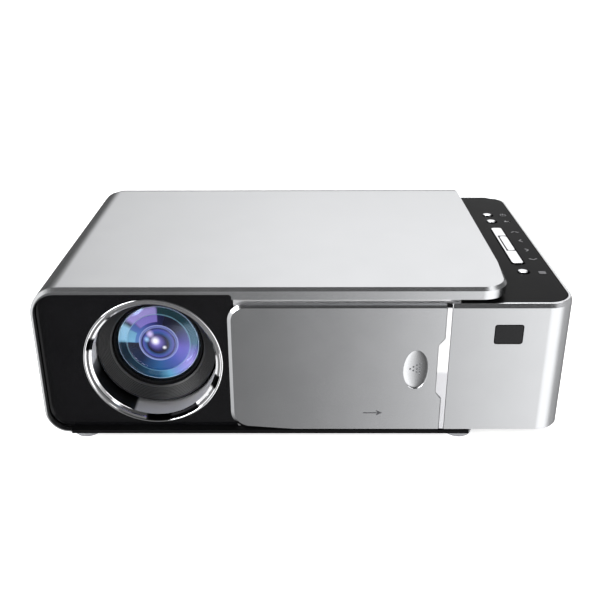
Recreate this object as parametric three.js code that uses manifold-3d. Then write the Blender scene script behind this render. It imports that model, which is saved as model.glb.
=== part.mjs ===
// Mini projector with a lens cover that slides sideways.
// Millimetres, +X to the viewer's right, +Y from the front to the rear, +Z up.
// Pieces are built with Y = 0 at the front plane and Z = 0 at the table, and
// the whole group is then moved so that its origin is under the middle of the case.

import * as THREE from 'three';
import { mergeVertices } from 'three/addons/utils/BufferGeometryUtils.js';
import Module from 'manifold-3d';

const wasm = await Module();
wasm.setup();

// Case
const caseWidth = 200;
const caseDepth = 130.5;
const caseHeight = 61.6;
const footHeight = 2.8;

// Clearances and small modelling values
const seatGap = 0.25;
const runGap = 0.4;
const overrun = 1;
const weld = 1e-4;
const coarse = 12;
const medium = 24;
const fine = 48;
const cornerSteps = 5;

// Top cover
const lidPlate = 2.5;
const lidLip = 4.5;
const lipWall = 2;
const lidInset = 25.5;
const lidChamferHeight = 1.2;
const lidChamferDepth = 0.8;
const sideWall = 1.3;
const topRadius = 11;
const bottomRadius = 9.5;
const rearRadius = 9.5;
const rearCornerRadius = 8;
const lidFrontCornerRadius = 8.5;
const lidRearCornerRadius = 14;
const lidBossRadius = 3.2;
const rearFlange = 11.4;

// Side vents
const ventWidth = 2;
const ventPitch = 4;
const ventHeight = 24;
const leftVents = 11;
const rightVents = 6;

// Right shell and control panel
const shellWidth = 45.8;
const shellGap = 2.1;
const frontInset = 0.4;
const shellWall = 2.2;
const shellRim = 1.6;
const shellRadius = 9.5;
const shellBevel = 1.5;
const shellFlange = 5;
const shellFlangePlate = 1.6;
const shellBossRadius = 3.2;
const panelDrop = 6.4;
const panelPlate = 2;
const panelSideGap = 1.8;
const platformInset = 2;

// Bottom tray, feet and screws
const floorPlate = 1.5;
const railEndInset = 38;
const trayFrontInset = 4.4;
const traySideInset = 1.5;
const trayCornerRadius = 7;
const trayBossRadius = 4.6;
const trayBossHeight = 4;
const footRadius = 6;
const footEdge = 0.8;
const footPegRadius = 2;
const footInsetLeft = 14.5;
const footInsetRight = 39.2;
const footInsetFront = 8.5;
const screwHeadRadius = 2.8;
const screwHead = 1.6;
const screwRadius = 1.5;
const screwLength = 12;
const lidScrewInsetLeft = 15;
const lidScrewGap = 4.2;
const shellScrewInset = 10.5;
const screwInsetFront = 19;
const screwInsetRear = 25;

// Sliding cover
const coverLap = 2.15;
const coverHeadGap = 2.3;
const coverPlate = 1.7;
const coverBevel = 1.3;
const coverTopRadius = 6.5;
const coverBottomRadius = 7.5;
const coverEdgeRadius = 0.6;
const notchDepth = 2.2;
const notchTopInset = 13.7;
const notchBottom = 13.6;
const notchSlope = 2.7;
const dimpleHalfWidth = 4.85;
const dimpleHalfHeight = 8.3;
const dimpleDepth = 0.8;
const dimpleInset = 10.05;
const dimpleDrop = 0.3;
const slotEdge = 0.825;
const bossInset = 4.9;
const bossRadius = 2.2;
const upperSlotInset = 9;
const lowerSlot = 9.7;
const sliderWidth = 8;
const sliderPlate = 1.5;
const sliderOverhang = 3.5;
const coverScrewRadius = 0.9;
const coverScrewHead = 1.2;
const coverScrewHeadRadius = 2;
const magnetRadius = 2.5;
const magnetThickness = 1.2;

// Front bezel and slide bed
const bezelMargin = 4.6;
const bezelPlate = 2;
const bezelCornerRadius = 1.2;
const bedOverlap = 3.3;

// Lens, on one axis that runs from the front to the rear
const lensInset = 43.2;
const lensRise = 1.5;
const ringDrop = 0.55;
const ringMargin = 2.45;
const ringProud = 0.5;
const ringFlange = 0.9;
const ringBand = 2;
const ringDepth = 11.5;
const ringTaper = 0.6;
const focusInset = 3.4;
const focusSetback = 7.9;
const focusWebDepth = 3.8;
const focusWeb = 1.8;
const focusLength = 14;
const grooveCount = 3;
const grooveDepth = 0.35;
const focusFace = 5.4;
const barrelWall = 1;
const barrelLength = 30;
const barrelSetback = 0.6;
const barrelStop = 1.2;
const mountWall = 1.9;
const mountLength = 26;
const mountFlange = 2;
const mountFlangeWidth = 2.55;
const glassEdge = 2.5;
const glassDome = 3.4;
const glassSetback = 0.5;
const rearGlassEdge = 2.4;
const rearGlassDome = 1.6;
const domeSteps = 4;

// Optical box and what stands in its grooves
const boxWidth = 54;
const boxRoom = 5.8;
const boxWall = 1.8;
const boxFront = 2;
const grooveInWall = 0.9;
const fresnelPlate = 1.5;
const lcdPlate = 2.4;
const heatGlassPlate = 1.1;

// Light source and cooling
const reflectorInset = 2.5;
const reflectorThroat = 8;
const reflectorLength = 12;
const reflectorWall = 1.2;
const condenserEdge = 2;
const condenserDome = 4.5;
const ledBoardInset = 3;
const ledBoardPlate = 1.6;
const ledChipRadius = 6.5;
const ledChipHeight = 0.8;
const sinkRoom = 5.8;
const sinkBase = 3;
const sinkDepth = 16;
const sinkFins = 9;
const sinkFin = 1.2;
const fanRoom = 3.8;
const fanDepth = 10;
const fanRearGap = 2.35;
const fanWall = 1.3;
const fanHubRadius = 9;
const fanHubPlate = 1.2;
const fanStrut = 3;
const fanStruts = 4;
const fanBlades = 7;
const fanBlade = 0.9;
const fanChord = 8;
const fanPitch = 38;
const fanTipGap = 0.8;
const fanSpindleRadius = 1.5;

// Rear panel
const rearPlate = 2;
const grilleEdge = 2;
const grilleSlot = 2.4;
const grillePitch = 4;
const standoffRadius = 2;
const standoffInset = 3.25;
const rearEndInset = 12;

// Boards
const boardPlate = 1.6;
const mainBoardLift = 5;
const mainBoardGap = 3;
const mainBoardFront = 34.5;
const mainBoardInset = 6;
const mainBoardSide = 13;
const postRadius = 2.6;
const boardScrewInset = 5;
const boardScrewRadius = 1.1;
const boardScrewHead = 1;
const boardScrewHeadRadius = 2;
const boardScrewLength = 5;
const chipSize = 18;
const chipHeight = 2;
const canRadius = 3;
const canHeight = 8;
const canPitch = 9;
const cans = 5;
const sensorBoardHeight = 33;
const sensorBoardWidth = 10;
const sensorChip = 0.6;
const sensorTopInset = 3.8;

// Sockets in a row on the main board
const vgaWidth = 30;
const vgaHeight = 12;
const vgaShellWidth = 17;
const vgaShellHeight = 8.4;
const vgaSkew = 1.2;
const vgaRadius = 1.5;
const hdmiWidth = 15;
const hdmiHeight = 5.6;
const usbWidth = 13.2;
const usbHeight = 5.8;
const socketDepth = 14;
const socketWall = 0.6;
const tongueHeight = 1.4;
const tongueSide = 1.2;
const avHoleRadius = 1.8;
const jackBody = 8;
const jackDepth = 12;
const jackNoseRadius = 3.2;
const dcHoleRadius = 2.8;
const dcNoseRadius = 3.8;
const dcPinRadius = 1;
const dcBody = 9.5;

// Keys
const keyInset = 13;
const keyRadius = 2;
const keyProud = 0.6;
const keyFlange = 1;
const keyFlangeOverlap = 1;
const keyTravel = 0.5;
const powerKeyOffset = 35.65;
const backKeyOffset = 26.45;
const menuKeyOffset = -34.25;
const navFrontOffset = -26.25;
const navRearOffset = 16.25;
const rockerFrontOffset = -12.15;
const rockerRearOffset = 5.65;
const navWidth = 4.6;
const navGap = 0.6;
const navRadius = 1.2;
const rockerDrop = 0.4;
const rockerFlange = 0.7;
const fulcrumWidth = 0.8;
const switchHeight = 3.1;
const switchSize = 3;
const keypadWidth = 12;
const keypadMargin = 6;

// Infrared receiver and speaker
const irWidth = 10.1;
const irHeight = 7.35;
const irInset = 24.55;
const irDrop = 10.3;
const irFlange = 1.2;
const irFlangePlate = 1;
const irRadius = 0.8;
const irBoardWidth = 18;
const irBoardHeight = 9;
const irStandoff = 4.5;
const irDomeRadius = 2.2;
const irDomeHeight = 2.4;
const irPegRadius = 1.4;
const irPegSpacing = 16;
const speakerRadius = 14;
const speakerRim = 3;
const speakerMagnetRadius = 8;
const speakerDepth = 11;
const speakerOffset = -3.25;
const speakerDrop = 1.925;

// Shares of the size that they follow
const slotRoundShare = 0.95;
const grooveStartShare = 0.35;
const grooveEndShare = 0.75;
const rearFrontShare = 0.6;
const bladeRootShare = 0.8;
const rockerSwitchShare = 0.34;
const frontFresnelShare = 0.32;
const lcdShare = 0.455;
const rearFresnelShare = 0.615;
const heatGlassShare = 0.725;

// Places that several pieces share
const left = -caseWidth / 2;
const right = caseWidth / 2;
const back = caseDepth;
const middle = caseDepth / 2;
const under = footHeight;
const top = under + caseHeight;
const lidUnder = top - lidPlate;
const lipUnder = top - lidLip;
const lidRight = right - lidInset;
const floorTop = under + floorPlate;
const panelTop = top - panelDrop;
const panelUnder = panelTop - panelPlate;
const shellLeft = right - shellWidth;
const shellBottom = floorTop + seatGap;
const panelLeft = shellLeft + panelSideGap;
const trayLeft = left + bottomRadius + seatGap;
const trayRight = right - traySideInset;
const rearPanelTop = top - rearFlange;
const rearPanelFront = back - rearPlate;
const rearEnd = right - rearEndInset;

// Places and sizes round the lens, whose axis stands a little above the middle of its ring
const lensX = left + lensInset;
const ringZ = (floorTop + lidUnder) / 2 - ringDrop;
const lensZ = ringZ + lensRise;
const lensRoom = (lidUnder - floorTop) / 2;
const ringRadius = lensRoom - ringMargin;
const ringTubeRadius = ringRadius - ringFlange;
const focusRadius = ringRadius - focusInset;
const barrelRadius = focusRadius - focusFace;
const mountRadius = barrelRadius + seatGap + mountWall;
const mountFlangeRadius = mountRadius + mountFlangeWidth;
const boxHeight = 2 * (lensRoom - boxRoom);
const reflectorMouth = boxHeight / 2 - reflectorInset;
const sinkSize = 2 * (lensRoom - sinkRoom);
const ledBoardSize = sinkSize - 2 * ledBoardInset;
const fanSize = 2 * (lensRoom - fanRoom);
const grilleRadius = rearPanelTop - seatGap - grilleEdge - lensZ;
const standoffRise = grilleRadius - standoffInset;

// Sliding cover between the bezel and the right shell
const bezelRight = lensX + ringRadius + bezelMargin;
const bedLeft = bezelRight + seatGap / 2;
const coverFront = frontInset;
const coverBack = coverFront + coverPlate;
const coverRight = shellLeft - shellGap;
const coverLeft = bezelRight - coverLap;
const coverBottom = floorTop + runGap;
const coverTop = lipUnder - coverHeadGap;
const coverMiddle = (coverBottom + coverTop) / 2;
const sliderX = coverRight - bossInset;
const slotReach = bossRadius + runGap;
const coverTravel = sliderX - slotReach - slotEdge - bedLeft;
const slotHeights = [coverBottom + lowerSlot, coverTop - upperSlotInset];

// The optical train from the front, and its rear half from the rear panel
const ringFront = coverBack + runGap;
const bezelFace = ringFront + ringProud;
const bezelBack = bezelFace + bezelPlate;
const focusFront = ringFront + focusSetback;
const barrelFront = focusFront + focusWebDepth + barrelSetback;
const mountFront = focusFront + focusWebDepth + focusWeb + runGap;
const mountBack = mountFront + mountLength;
const boxStart = mountBack + seatGap;
const fanEnd = rearPanelFront - fanRearGap;
const fanStart = fanEnd - fanDepth;
const sinkStart = fanStart - seatGap - sinkDepth;
const ledStart = sinkStart - seatGap - ledBoardPlate;
const reflectorStart = ledStart - seatGap - ledChipHeight - reflectorLength;
const boxEnd = reflectorStart - seatGap;
const boxLength = boxEnd - boxStart;
const frontFresnelPlace = boxLength * frontFresnelShare;
const lcdPlace = boxLength * lcdShare;
const rearFresnelPlace = boxLength * rearFresnelShare;
const heatGlassPlace = boxLength * heatGlassShare;

// Where the cover's magnet meets the sensor chip when the cover is open
const sensorZ = floorTop + sensorBoardHeight - sensorTopInset;

// Main board and the row of sockets at its rear edge
const mainBoardTop = floorTop + mainBoardLift + boardPlate;
const mainBoardBack = rearPanelFront - mainBoardInset;
const mainBoardRight = trayRight - mainBoardSide;
const mainBoardLeft = lensX + boxWidth / 2 + mainBoardGap;
const socketFloor = mainBoardTop + seatGap;
const socketWidths = { vga: vgaWidth, hdmi: hdmiWidth, usb: usbWidth, av: jackBody, dc: dcBody };
const socketPlaces = {};
const widthOfAll = Object.values(socketWidths).reduce((sum, width) => sum + width, 0);
const socketSpace = (rearEnd - mainBoardLeft - widthOfAll) / (Object.keys(socketWidths).length + 1);
Object.entries(socketWidths).reduce((edge, [name, width]) => {
  socketPlaces[name] = edge + width / 2;
  return edge + width + socketSpace;
}, mainBoardLeft + socketSpace);

// Keys, infrared window and speaker
const keyX = right - keyInset;
const navFront = middle + navFrontOffset;
const navRear = middle + navRearOffset;
const rockerFront = middle + rockerFrontOffset;
const rockerRear = middle + rockerRearOffset;
const keyFlangeTop = panelUnder - seatGap;
const switchTop = keyFlangeTop - keyFlange - keyTravel - seatGap / 2;
const keypadTop = switchTop - switchHeight;
const irX = right - irInset;
const irZ = panelUnder - irDrop;
const speakerY = middle + speakerOffset;
const speakerZ = keypadTop - boardPlate - speakerDrop - speakerRadius;
const lidScrews = [
  [left + lidScrewInsetLeft, screwInsetFront],
  [left + lidScrewInsetLeft, back - screwInsetRear],
  [shellLeft - lidScrewGap, screwInsetFront],
  [shellLeft - lidScrewGap, back - screwInsetRear],
];
const shellScrews = [
  [right - shellScrewInset, screwInsetFront],
  [right - shellScrewInset, back - screwInsetRear],
];
const feet = {
  foot_front_left: [left + footInsetLeft, footInsetFront],
  foot_front_right: [right - footInsetRight, footInsetFront],
  foot_rear_left: [left + footInsetLeft, back - footInsetFront],
  foot_rear_right: [right - footInsetRight, back - footInsetFront],
};
const roundKeys = {
  power_key: middle + powerKeyOffset,
  back_key: middle + backKeyOffset,
  menu_key: middle + menuKeyOffset,
};

// Finishes as the photograph shows them
const finishes = {
  silver: { color: 0xc4c5c8, roughness: 0.38, metalness: 0.55 },
  coverSilver: { color: 0x9a9b9e, roughness: 0.36, metalness: 0.6 },
  brightSilver: { color: 0xeeeef0, roughness: 0.18, metalness: 0.5 },
  chrome: { color: 0xd8d8da, roughness: 0.08, metalness: 1 },
  blackGloss: { color: 0x161617, roughness: 0.22, metalness: 0 },
  blackMatte: { color: 0x1c1c1d, roughness: 0.6, metalness: 0 },
  rubber: { color: 0x8c8c8c, roughness: 0.8, metalness: 0 },
  lensGlass: { color: 0x3b3f7a, roughness: 0.03, metalness: 0 },
  clearGlass: { color: 0xcfe0e6, roughness: 0.05, metalness: 0 },
  filmGlass: { color: 0x2a2c33, roughness: 0.15, metalness: 0 },
  board: { color: 0x1f5a35, roughness: 0.5, metalness: 0 },
  steel: { color: 0xa7a9ad, roughness: 0.3, metalness: 1 },
  aluminium: { color: 0xb9bcc0, roughness: 0.4, metalness: 1 },
  magnet: { color: 0x707276, roughness: 0.3, metalness: 1 },
};

// Solids from three.js geometry, with shared corners merged and faces turned outwards
function solid(geometry) {
  geometry.deleteAttribute('normal');
  geometry.deleteAttribute('uv');
  const merged = mergeVertices(geometry, weld);
  const position = merged.getAttribute('position');
  const corner = [0, 1, 2].map(() => new THREE.Vector3());
  const faces = [];
  let volume = 0;
  for (let i = 0; i < merged.index.count; i += 3) {
    const face = [0, 1, 2].map((step) => merged.index.getX(i + step));
    if (new Set(face).size < 3) continue;
    face.forEach((vertex, k) => corner[k].fromBufferAttribute(position, vertex));
    volume += corner[0].dot(corner[1].cross(corner[2]));
    faces.push(face);
  }
  if (volume < 0) faces.forEach((face) => face.reverse());
  const vertProperties = Float32Array.from(position.array);
  const triVerts = Uint32Array.from(faces.flat());
  return new wasm.Manifold(new wasm.Mesh({ numProp: 3, vertProperties, triVerts }));
}

const join = (first, ...others) => others.flat().reduce((sum, other) => sum.add(other), first);
const cut = (first, ...others) => others.flat().reduce((sum, other) => sum.subtract(other), first);
const meet = (first, ...others) => others.flat().reduce((sum, other) => sum.intersect(other), first);

// An outline whose corners are [a, b, radius], counterclockwise
function outline(corners) {
  const points = corners.flatMap(([a, b, radius = 0], index) => {
    const here = new THREE.Vector2(a, b);
    if (radius <= 0) return [here];
    const [pastA, pastB] = corners.at(index - 1);
    const [nextA, nextB] = corners[(index + 1) % corners.length];
    const past = new THREE.Vector2(pastA, pastB).sub(here).normalize();
    const next = new THREE.Vector2(nextA, nextB).sub(here).normalize();
    const half = Math.acos(past.dot(next)) / 2;
    const centre = past.clone().add(next).setLength(radius / Math.sin(half)).add(here);
    const start = here.clone().addScaledVector(past, radius / Math.tan(half)).sub(centre);
    const end = here.clone().addScaledVector(next, radius / Math.tan(half)).sub(centre);
    const clockwise = past.cross(next) > 0;
    return new THREE.ArcCurve(centre.x, centre.y, radius, start.angle(), end.angle(), clockwise)
      .getPoints(cornerSteps);
  });
  return new THREE.Shape(points);
}

function extruded(shape, depth) {
  return new THREE.ExtrudeGeometry(shape, { depth, bevelEnabled: false });
}

// Prisms named after the axis that they run along
const turnToX = new THREE.Matrix4().set(0, 0, 1, 0, 1, 0, 0, 0, 0, 1, 0, 0, 0, 0, 0, 1);
const turnToY = new THREE.Matrix4().set(1, 0, 0, 0, 0, 0, -1, 0, 0, 1, 0, 0, 0, 0, 0, 1);

function prismX(corners, from, to) {
  const geometry = extruded(outline(corners), to - from).applyMatrix4(turnToX);
  return solid(geometry.translate(from, 0, 0));
}

function prismY(corners, from, to) {
  const geometry = extruded(outline(corners), to - from).applyMatrix4(turnToY);
  return solid(geometry.translate(0, to, 0));
}

function prismZ(corners, from, to) {
  return solid(extruded(outline(corners), to - from).translate(0, 0, from));
}

function block(x0, x1, y0, y1, z0, z1) {
  const geometry = new THREE.BoxGeometry(x1 - x0, y1 - y0, z1 - z0);
  return solid(geometry.translate((x0 + x1) / 2, (y0 + y1) / 2, (z0 + z1) / 2));
}

// Round bars along an axis, and shapes turned about the lens axis
function disc(radius, length, sides) {
  return new THREE.CylinderGeometry(radius, radius, length, sides);
}

function rodX(y, z, radius, from, to, sides = coarse) {
  const geometry = disc(radius, to - from, sides).rotateZ(Math.PI / 2);
  return solid(geometry.translate((from + to) / 2, y, z));
}

function rodY(x, z, radius, from, to, sides = coarse) {
  return solid(disc(radius, to - from, sides).translate(x, (from + to) / 2, z));
}

function rodZ(x, y, radius, from, to, sides = coarse) {
  const geometry = disc(radius, to - from, sides).rotateX(Math.PI / 2);
  return solid(geometry.translate(x, y, (from + to) / 2));
}

function turned(profile, sides = fine, axisZ = lensZ) {
  const points = [...profile, profile[0]].map(([radius, y]) => new THREE.Vector2(radius, y));
  return solid(new THREE.LatheGeometry(points, sides).translate(lensX, 0, axisZ));
}

// One side of a lens: points from the axis out to the rim, on a spherical cap
function dome(radius, rise, y) {
  const sphere = (radius * radius + rise * rise) / (2 * rise);
  const reach = Math.asin(radius / sphere);
  return Array.from({ length: domeSteps + 1 }, (_, step) => {
    const angle = (reach * step) / domeSteps;
    return [sphere * Math.sin(angle), y + rise - sphere * (1 - Math.cos(angle))];
  });
}

function lens(radius, edge, frontRise, rearRise, start) {
  const front = dome(radius, frontRise, 0).map(([r, y]) => [r, start - y]);
  const rear = rearRise > 0 ? dome(radius, rearRise, 0).map(([r, y]) => [r, start + edge + y]) : [];
  const flat = [[radius, start + edge], [0, start + edge]];
  return turned([...front, ...(rear.length ? rear.reverse() : flat)], medium);
}

// Silver cover: top plate with its lip, left side, and the turn under the left edge
function topCover() {
  const reach = lidRight - lipWall;
  const shell = meet(
    prismY([
      [left, under, bottomRadius], [lidRight, under], [lidRight, top], [left, top, topRadius],
    ], 0, back),
    prismX([
      [0, under], [back, under], [back, top, rearRadius],
      [lidChamferDepth, top], [0, top - lidChamferHeight],
    ], left, lidRight),
    prismZ([
      [left, 0], [lidRight, 0, lidFrontCornerRadius],
      [lidRight, back, lidRearCornerRadius], [left, back, rearCornerRadius],
    ], under, top),
  );
  const hollow = meet(
    prismY([
      [left + sideWall, under + sideWall, bottomRadius - sideWall], [reach, under + sideWall],
      [reach, lidUnder], [left + sideWall, lidUnder, topRadius - lidPlate],
    ], lipWall, back - sideWall),
    prismX([
      [lipWall, under], [back - sideWall, under],
      [back - sideWall, lidUnder, rearRadius - lidPlate], [lipWall, lidUnder],
    ], left, lidRight),
    prismZ([
      [left, lipWall], [reach, lipWall, lidFrontCornerRadius - lipWall],
      [reach, back - sideWall, lidRearCornerRadius - lipWall],
      [left + sideWall, back - sideWall, rearCornerRadius - sideWall],
    ], under, top),
  );
  const frontOpening = prismY([
    [left + sideWall, under + sideWall, bottomRadius - sideWall],
    [lidRight + overrun, under + sideWall], [lidRight + overrun, lipUnder],
    [bezelRight, lipUnder], [bezelRight, lidUnder],
    [left + sideWall, lidUnder, topRadius - lidPlate],
  ], -overrun, lipWall + overrun);
  const belowLip = block(left + bottomRadius, lidRight + overrun,
    -overrun, back - sideWall - rearPlate, under - overrun, lipUnder);
  const rearOpening = block(left + rearCornerRadius, lidRight + overrun,
    back - sideWall - rearPlate, back + overrun, under - overrun, rearPanelTop);
  const rearRight = block(shellLeft - seatGap, lidRight + overrun,
    back - rearRadius, back + overrun, under - overrun, lipUnder);
  const bosses = lidScrews.map(([x, y]) =>
    rodZ(x, y, lidBossRadius, floorTop + trayBossHeight + seatGap, lidUnder + overrun));
  const pilots = lidScrews.map(([x, y]) =>
    rodZ(x, y, screwRadius + seatGap, floorTop, floorTop + screwLength + overrun));
  const vents = Array.from({ length: leftVents }, (_, n) => {
    const y = middle + (n - (leftVents - 1) / 2) * ventPitch;
    return block(left - overrun, left + sideWall + overrun, y - ventWidth / 2, y + ventWidth / 2,
      lensZ - ventHeight / 2, lensZ + ventHeight / 2);
  });
  const open = cut(shell, hollow, frontOpening, belowLip, rearOpening, rearRight, vents);
  return cut(join(open, bosses), pilots);
}

// Black tray: floor, front rail under the sliding cover, screw bosses, posts and cradles
function bottomTray() {
  const railEnd = right - railEndInset;
  const rear = back - rearPlate - seatGap;
  const floor = prismZ([
    [trayLeft, 0], [railEnd, 0], [railEnd, trayFrontInset],
    [trayRight, trayFrontInset, trayCornerRadius], [trayRight, rear, trayCornerRadius],
    [trayLeft, rear],
  ], under, floorTop);
  const screws = [...lidScrews, ...shellScrews];
  const bossTop = floorTop + trayBossHeight;
  const bosses = screws.map(([x, y]) => rodZ(x, y, trayBossRadius, under, bossTop));
  const heads = screws.map(([x, y]) =>
    rodZ(x, y, screwHeadRadius + seatGap, under - overrun, floorTop + screwHead));
  const shanks = screws.map(([x, y]) =>
    rodZ(x, y, screwRadius + seatGap, under, bossTop + overrun));
  const pegs = Object.values(feet).map(([x, y]) =>
    rodZ(x, y, footPegRadius + seatGap, under - overrun, floorTop + overrun));
  const posts = boardScrewPlaces().map(([x, y]) =>
    rodZ(x, y, postRadius, under, mainBoardTop - boardPlate - seatGap));
  const postHoles = boardScrewPlaces().map(([x, y]) =>
    rodZ(x, y, boardScrewRadius + seatGap, floorTop, mainBoardTop));
  const ribs = cradles().map(([y, height]) =>
    block(lensX - ledBoardSize / 2, lensX + ledBoardSize / 2, y - boxWall / 2, y + boxWall / 2,
      under, lensZ - height / 2 - seatGap));
  return cut(join(floor, bosses, posts, ribs), heads, shanks, pegs, postHoles);
}

// Cradle ribs under the optical box, heat sink and fan: place along Y, and what they carry
function cradles() {
  return [
    [boxStart + boxLength / 4, boxHeight],
    [boxEnd - boxLength / 4, boxHeight],
    [(sinkStart + sinkStart + sinkDepth) / 2, sinkSize],
    [(fanStart + fanEnd) / 2, fanSize],
  ];
}

// Silver right shell: fixed front panel, right side and rear corner in one piece
function rightShell() {
  const plan = (inset, radius) => [
    [shellLeft - (inset > 0 ? overrun : 0), frontInset + inset],
    [right - inset, frontInset + inset, radius],
    [right - inset, back - inset, radius],
    [shellLeft - (inset > 0 ? overrun : 0), back - inset],
  ];
  const bevelled = new THREE.ExtrudeGeometry(outline(plan(0, shellRadius)), {
    depth: panelTop - shellBottom, bevelSegments: 1,
    bevelThickness: shellBevel, bevelSize: shellBevel, bevelOffset: -shellBevel,
  });
  const bevelledBlock = solid(bevelled.translate(0, 0, shellBottom - shellBevel));
  const outer = meet(bevelledBlock,
    block(shellLeft + shellBevel, right, frontInset, back, shellBottom, panelTop));
  const leftEdges = prismX([
    [frontInset, shellBottom], [back, shellBottom], [back, panelTop - shellBevel],
    [back - shellBevel, panelTop], [frontInset + shellBevel, panelTop],
    [frontInset, panelTop - shellBevel],
  ], shellLeft, shellLeft + shellBevel);
  const hole = prismZ(plan(shellFlange, shellRadius - shellFlange),
    shellBottom - overrun, shellBottom + shellFlangePlate);
  const room = prismZ(plan(shellWall, shellRadius - shellWall),
    shellBottom + shellFlangePlate, panelUnder - seatGap);
  const rim = prismZ(plan(shellRim, shellRadius - shellRim),
    panelUnder - seatGap, panelTop + overrun);
  const ports = block(shellLeft - overrun, rearEnd, back - shellFlange - overrun, back + overrun,
    shellBottom - overrun, rearPanelTop + seatGap);
  const window = prismY(irOutline(seatGap), frontInset - overrun, frontInset + shellWall + overrun);
  const vents = Array.from({ length: rightVents }, (_, n) => {
    const y = speakerY + (n - (rightVents - 1) / 2) * ventPitch;
    return block(right - shellWall - overrun, right + overrun, y - ventWidth / 2, y + ventWidth / 2,
      speakerZ - ventHeight / 2, speakerZ + ventHeight / 2);
  });
  const bossBottom = floorTop + trayBossHeight + seatGap;
  const bosses = shellScrews.map(([x, y]) => join(
    rodZ(x, y, shellBossRadius, bossBottom, bossBottom + screwLength),
    block(x, right - shellWall / 2, y - screwRadius, y + screwRadius,
      bossBottom, bossBottom + screwLength)));
  const pilots = shellScrews.map(([x, y]) =>
    rodZ(x, y, screwRadius + seatGap, floorTop, floorTop + screwLength + overrun));
  const pegs = [-1, 1].map((side) => rodY(irX + (side * irPegSpacing) / 2, irZ, irPegRadius,
    frontInset + shellWall / 2, irBoardFront() - seatGap));
  const shell = cut(join(outer, leftEdges), hole, room, rim, ports, window, vents);
  return cut(join(shell, bosses, pegs), pilots);
}

// Infrared window in the right shell and the receiver behind it
function irOutline(margin) {
  const x = irWidth / 2 + margin;
  const z = irHeight / 2 + margin;
  return [
    [irX - x, irZ - z, irRadius], [irX + x, irZ - z, irRadius],
    [irX + x, irZ + z, irRadius], [irX - x, irZ + z, irRadius],
  ];
}

function irBoardFront() {
  return frontInset + shellWall + irFlangePlate + irStandoff;
}

function irWindow() {
  const wallBack = frontInset + shellWall + seatGap;
  return join(
    prismY(irOutline(0), frontInset, wallBack + irFlangePlate / 2),
    prismY(irOutline(irFlange), wallBack, wallBack + irFlangePlate),
  );
}

function irReceiverBoard() {
  const front = irBoardFront();
  const board = block(irX - irBoardWidth / 2, irX + irBoardWidth / 2, front, front + boardPlate,
    irZ - irBoardHeight / 2, irZ + irBoardHeight / 2);
  return join(board, rodY(irX, irZ, irDomeRadius, front - irDomeHeight, front + boardPlate / 2));
}

// Black bezel round the lens
function frontBezel() {
  const gap = sideWall + seatGap;
  const plate = prismY([
    [left + gap, floorTop + seatGap, bottomRadius - gap],
    [bezelRight - seatGap / 2, floorTop + seatGap],
    [bezelRight - seatGap / 2, lidUnder - seatGap, bezelCornerRadius],
    [left + gap, lidUnder - seatGap, topRadius - lidPlate - seatGap],
  ], bezelFace, bezelBack);
  return cut(plate, rodY(lensX, ringZ, ringTubeRadius + seatGap,
    bezelFace - overrun, bezelBack + overrun, fine));
}

// Bright bed behind the sliding cover, with two slots for the cover's bosses
function slideBed() {
  const plate = block(bedLeft, shellLeft + bedOverlap, bezelFace, bezelBack,
    floorTop + seatGap, lidUnder - seatGap);
  const slotEnd = sliderX - coverTravel - slotReach;
  const round = slotReach * slotRoundShare;
  const slots = slotHeights.map((z) => prismY([
    [slotEnd, z - slotReach, round], [sliderX + slotReach, z - slotReach, round],
    [sliderX + slotReach, z + slotReach, round], [slotEnd, z + slotReach, round],
  ], bezelFace - overrun, bezelBack + overrun));
  const flangeNotch = block(shellLeft - seatGap, shellLeft + bedOverlap + overrun,
    bezelFace - overrun, bezelBack + overrun, floorTop, shellBottom + shellFlangePlate + seatGap);
  return cut(plate, slots, flangeNotch);
}

// Chrome ring: a rounded flange on the bezel and a well behind it with room for the focus ring
function lensRing() {
  const inner = ringRadius - ringBand;
  const soft = ringProud / 2;
  const well = turned([
    [ringRadius, bezelFace - seatGap / 2], [ringRadius, bezelFace - ringProud + soft],
    [ringRadius - soft, ringFront], [inner + soft, ringFront], [inner, ringFront + soft],
    [inner - ringTaper, ringFront + ringDepth],
    [ringTubeRadius, ringFront + ringDepth],
    [ringTubeRadius, bezelFace - seatGap / 2],
  ], fine, ringZ);
  return cut(well, rodY(lensX, lensZ, focusRadius + runGap, focusFront - runGap,
    ringFront + ringDepth + overrun, fine));
}

// Sliding cover: plate with a bevelled top, notch, thumb dimple and two bosses
function slidingCover() {
  const notchNear = coverRight - notchDepth;
  const face = prismY([
    [coverLeft, coverBottom, coverBottomRadius],
    [coverRight, coverBottom, coverEdgeRadius],
    [coverRight, coverBottom + notchBottom],
    [notchNear, coverBottom + notchBottom + notchSlope],
    [notchNear, coverTop - notchTopInset - notchSlope],
    [coverRight, coverTop - notchTopInset],
    [coverRight, coverTop, coverEdgeRadius],
    [coverLeft, coverTop, coverTopRadius],
  ], coverFront, coverBack);
  const section = prismX([
    [coverFront, coverBottom], [coverBack, coverBottom], [coverBack, coverTop],
    [coverFront + coverBevel, coverTop], [coverFront, coverTop - coverBevel],
  ], coverLeft, coverRight);
  const sphere = new THREE.SphereGeometry(1, coarse, coarse);
  sphere.scale(dimpleHalfWidth, dimpleDepth, dimpleHalfHeight);
  sphere.translate(coverRight - dimpleInset, coverFront, coverMiddle - dimpleDrop);
  const bosses = slotHeights.map((z) =>
    rodY(sliderX, z, bossRadius, coverBack - coverPlate / 2, bezelBack + seatGap / 2));
  const pilots = slotHeights.map((z) =>
    rodY(sliderX, z, coverScrewRadius + seatGap, coverBack, bezelBack + overrun));
  return cut(join(meet(face, section), bosses), solid(sphere), pilots);
}

// Plate behind the bed that ties the cover's two bosses together
function sliderFront() {
  return bezelBack + runGap;
}

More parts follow.
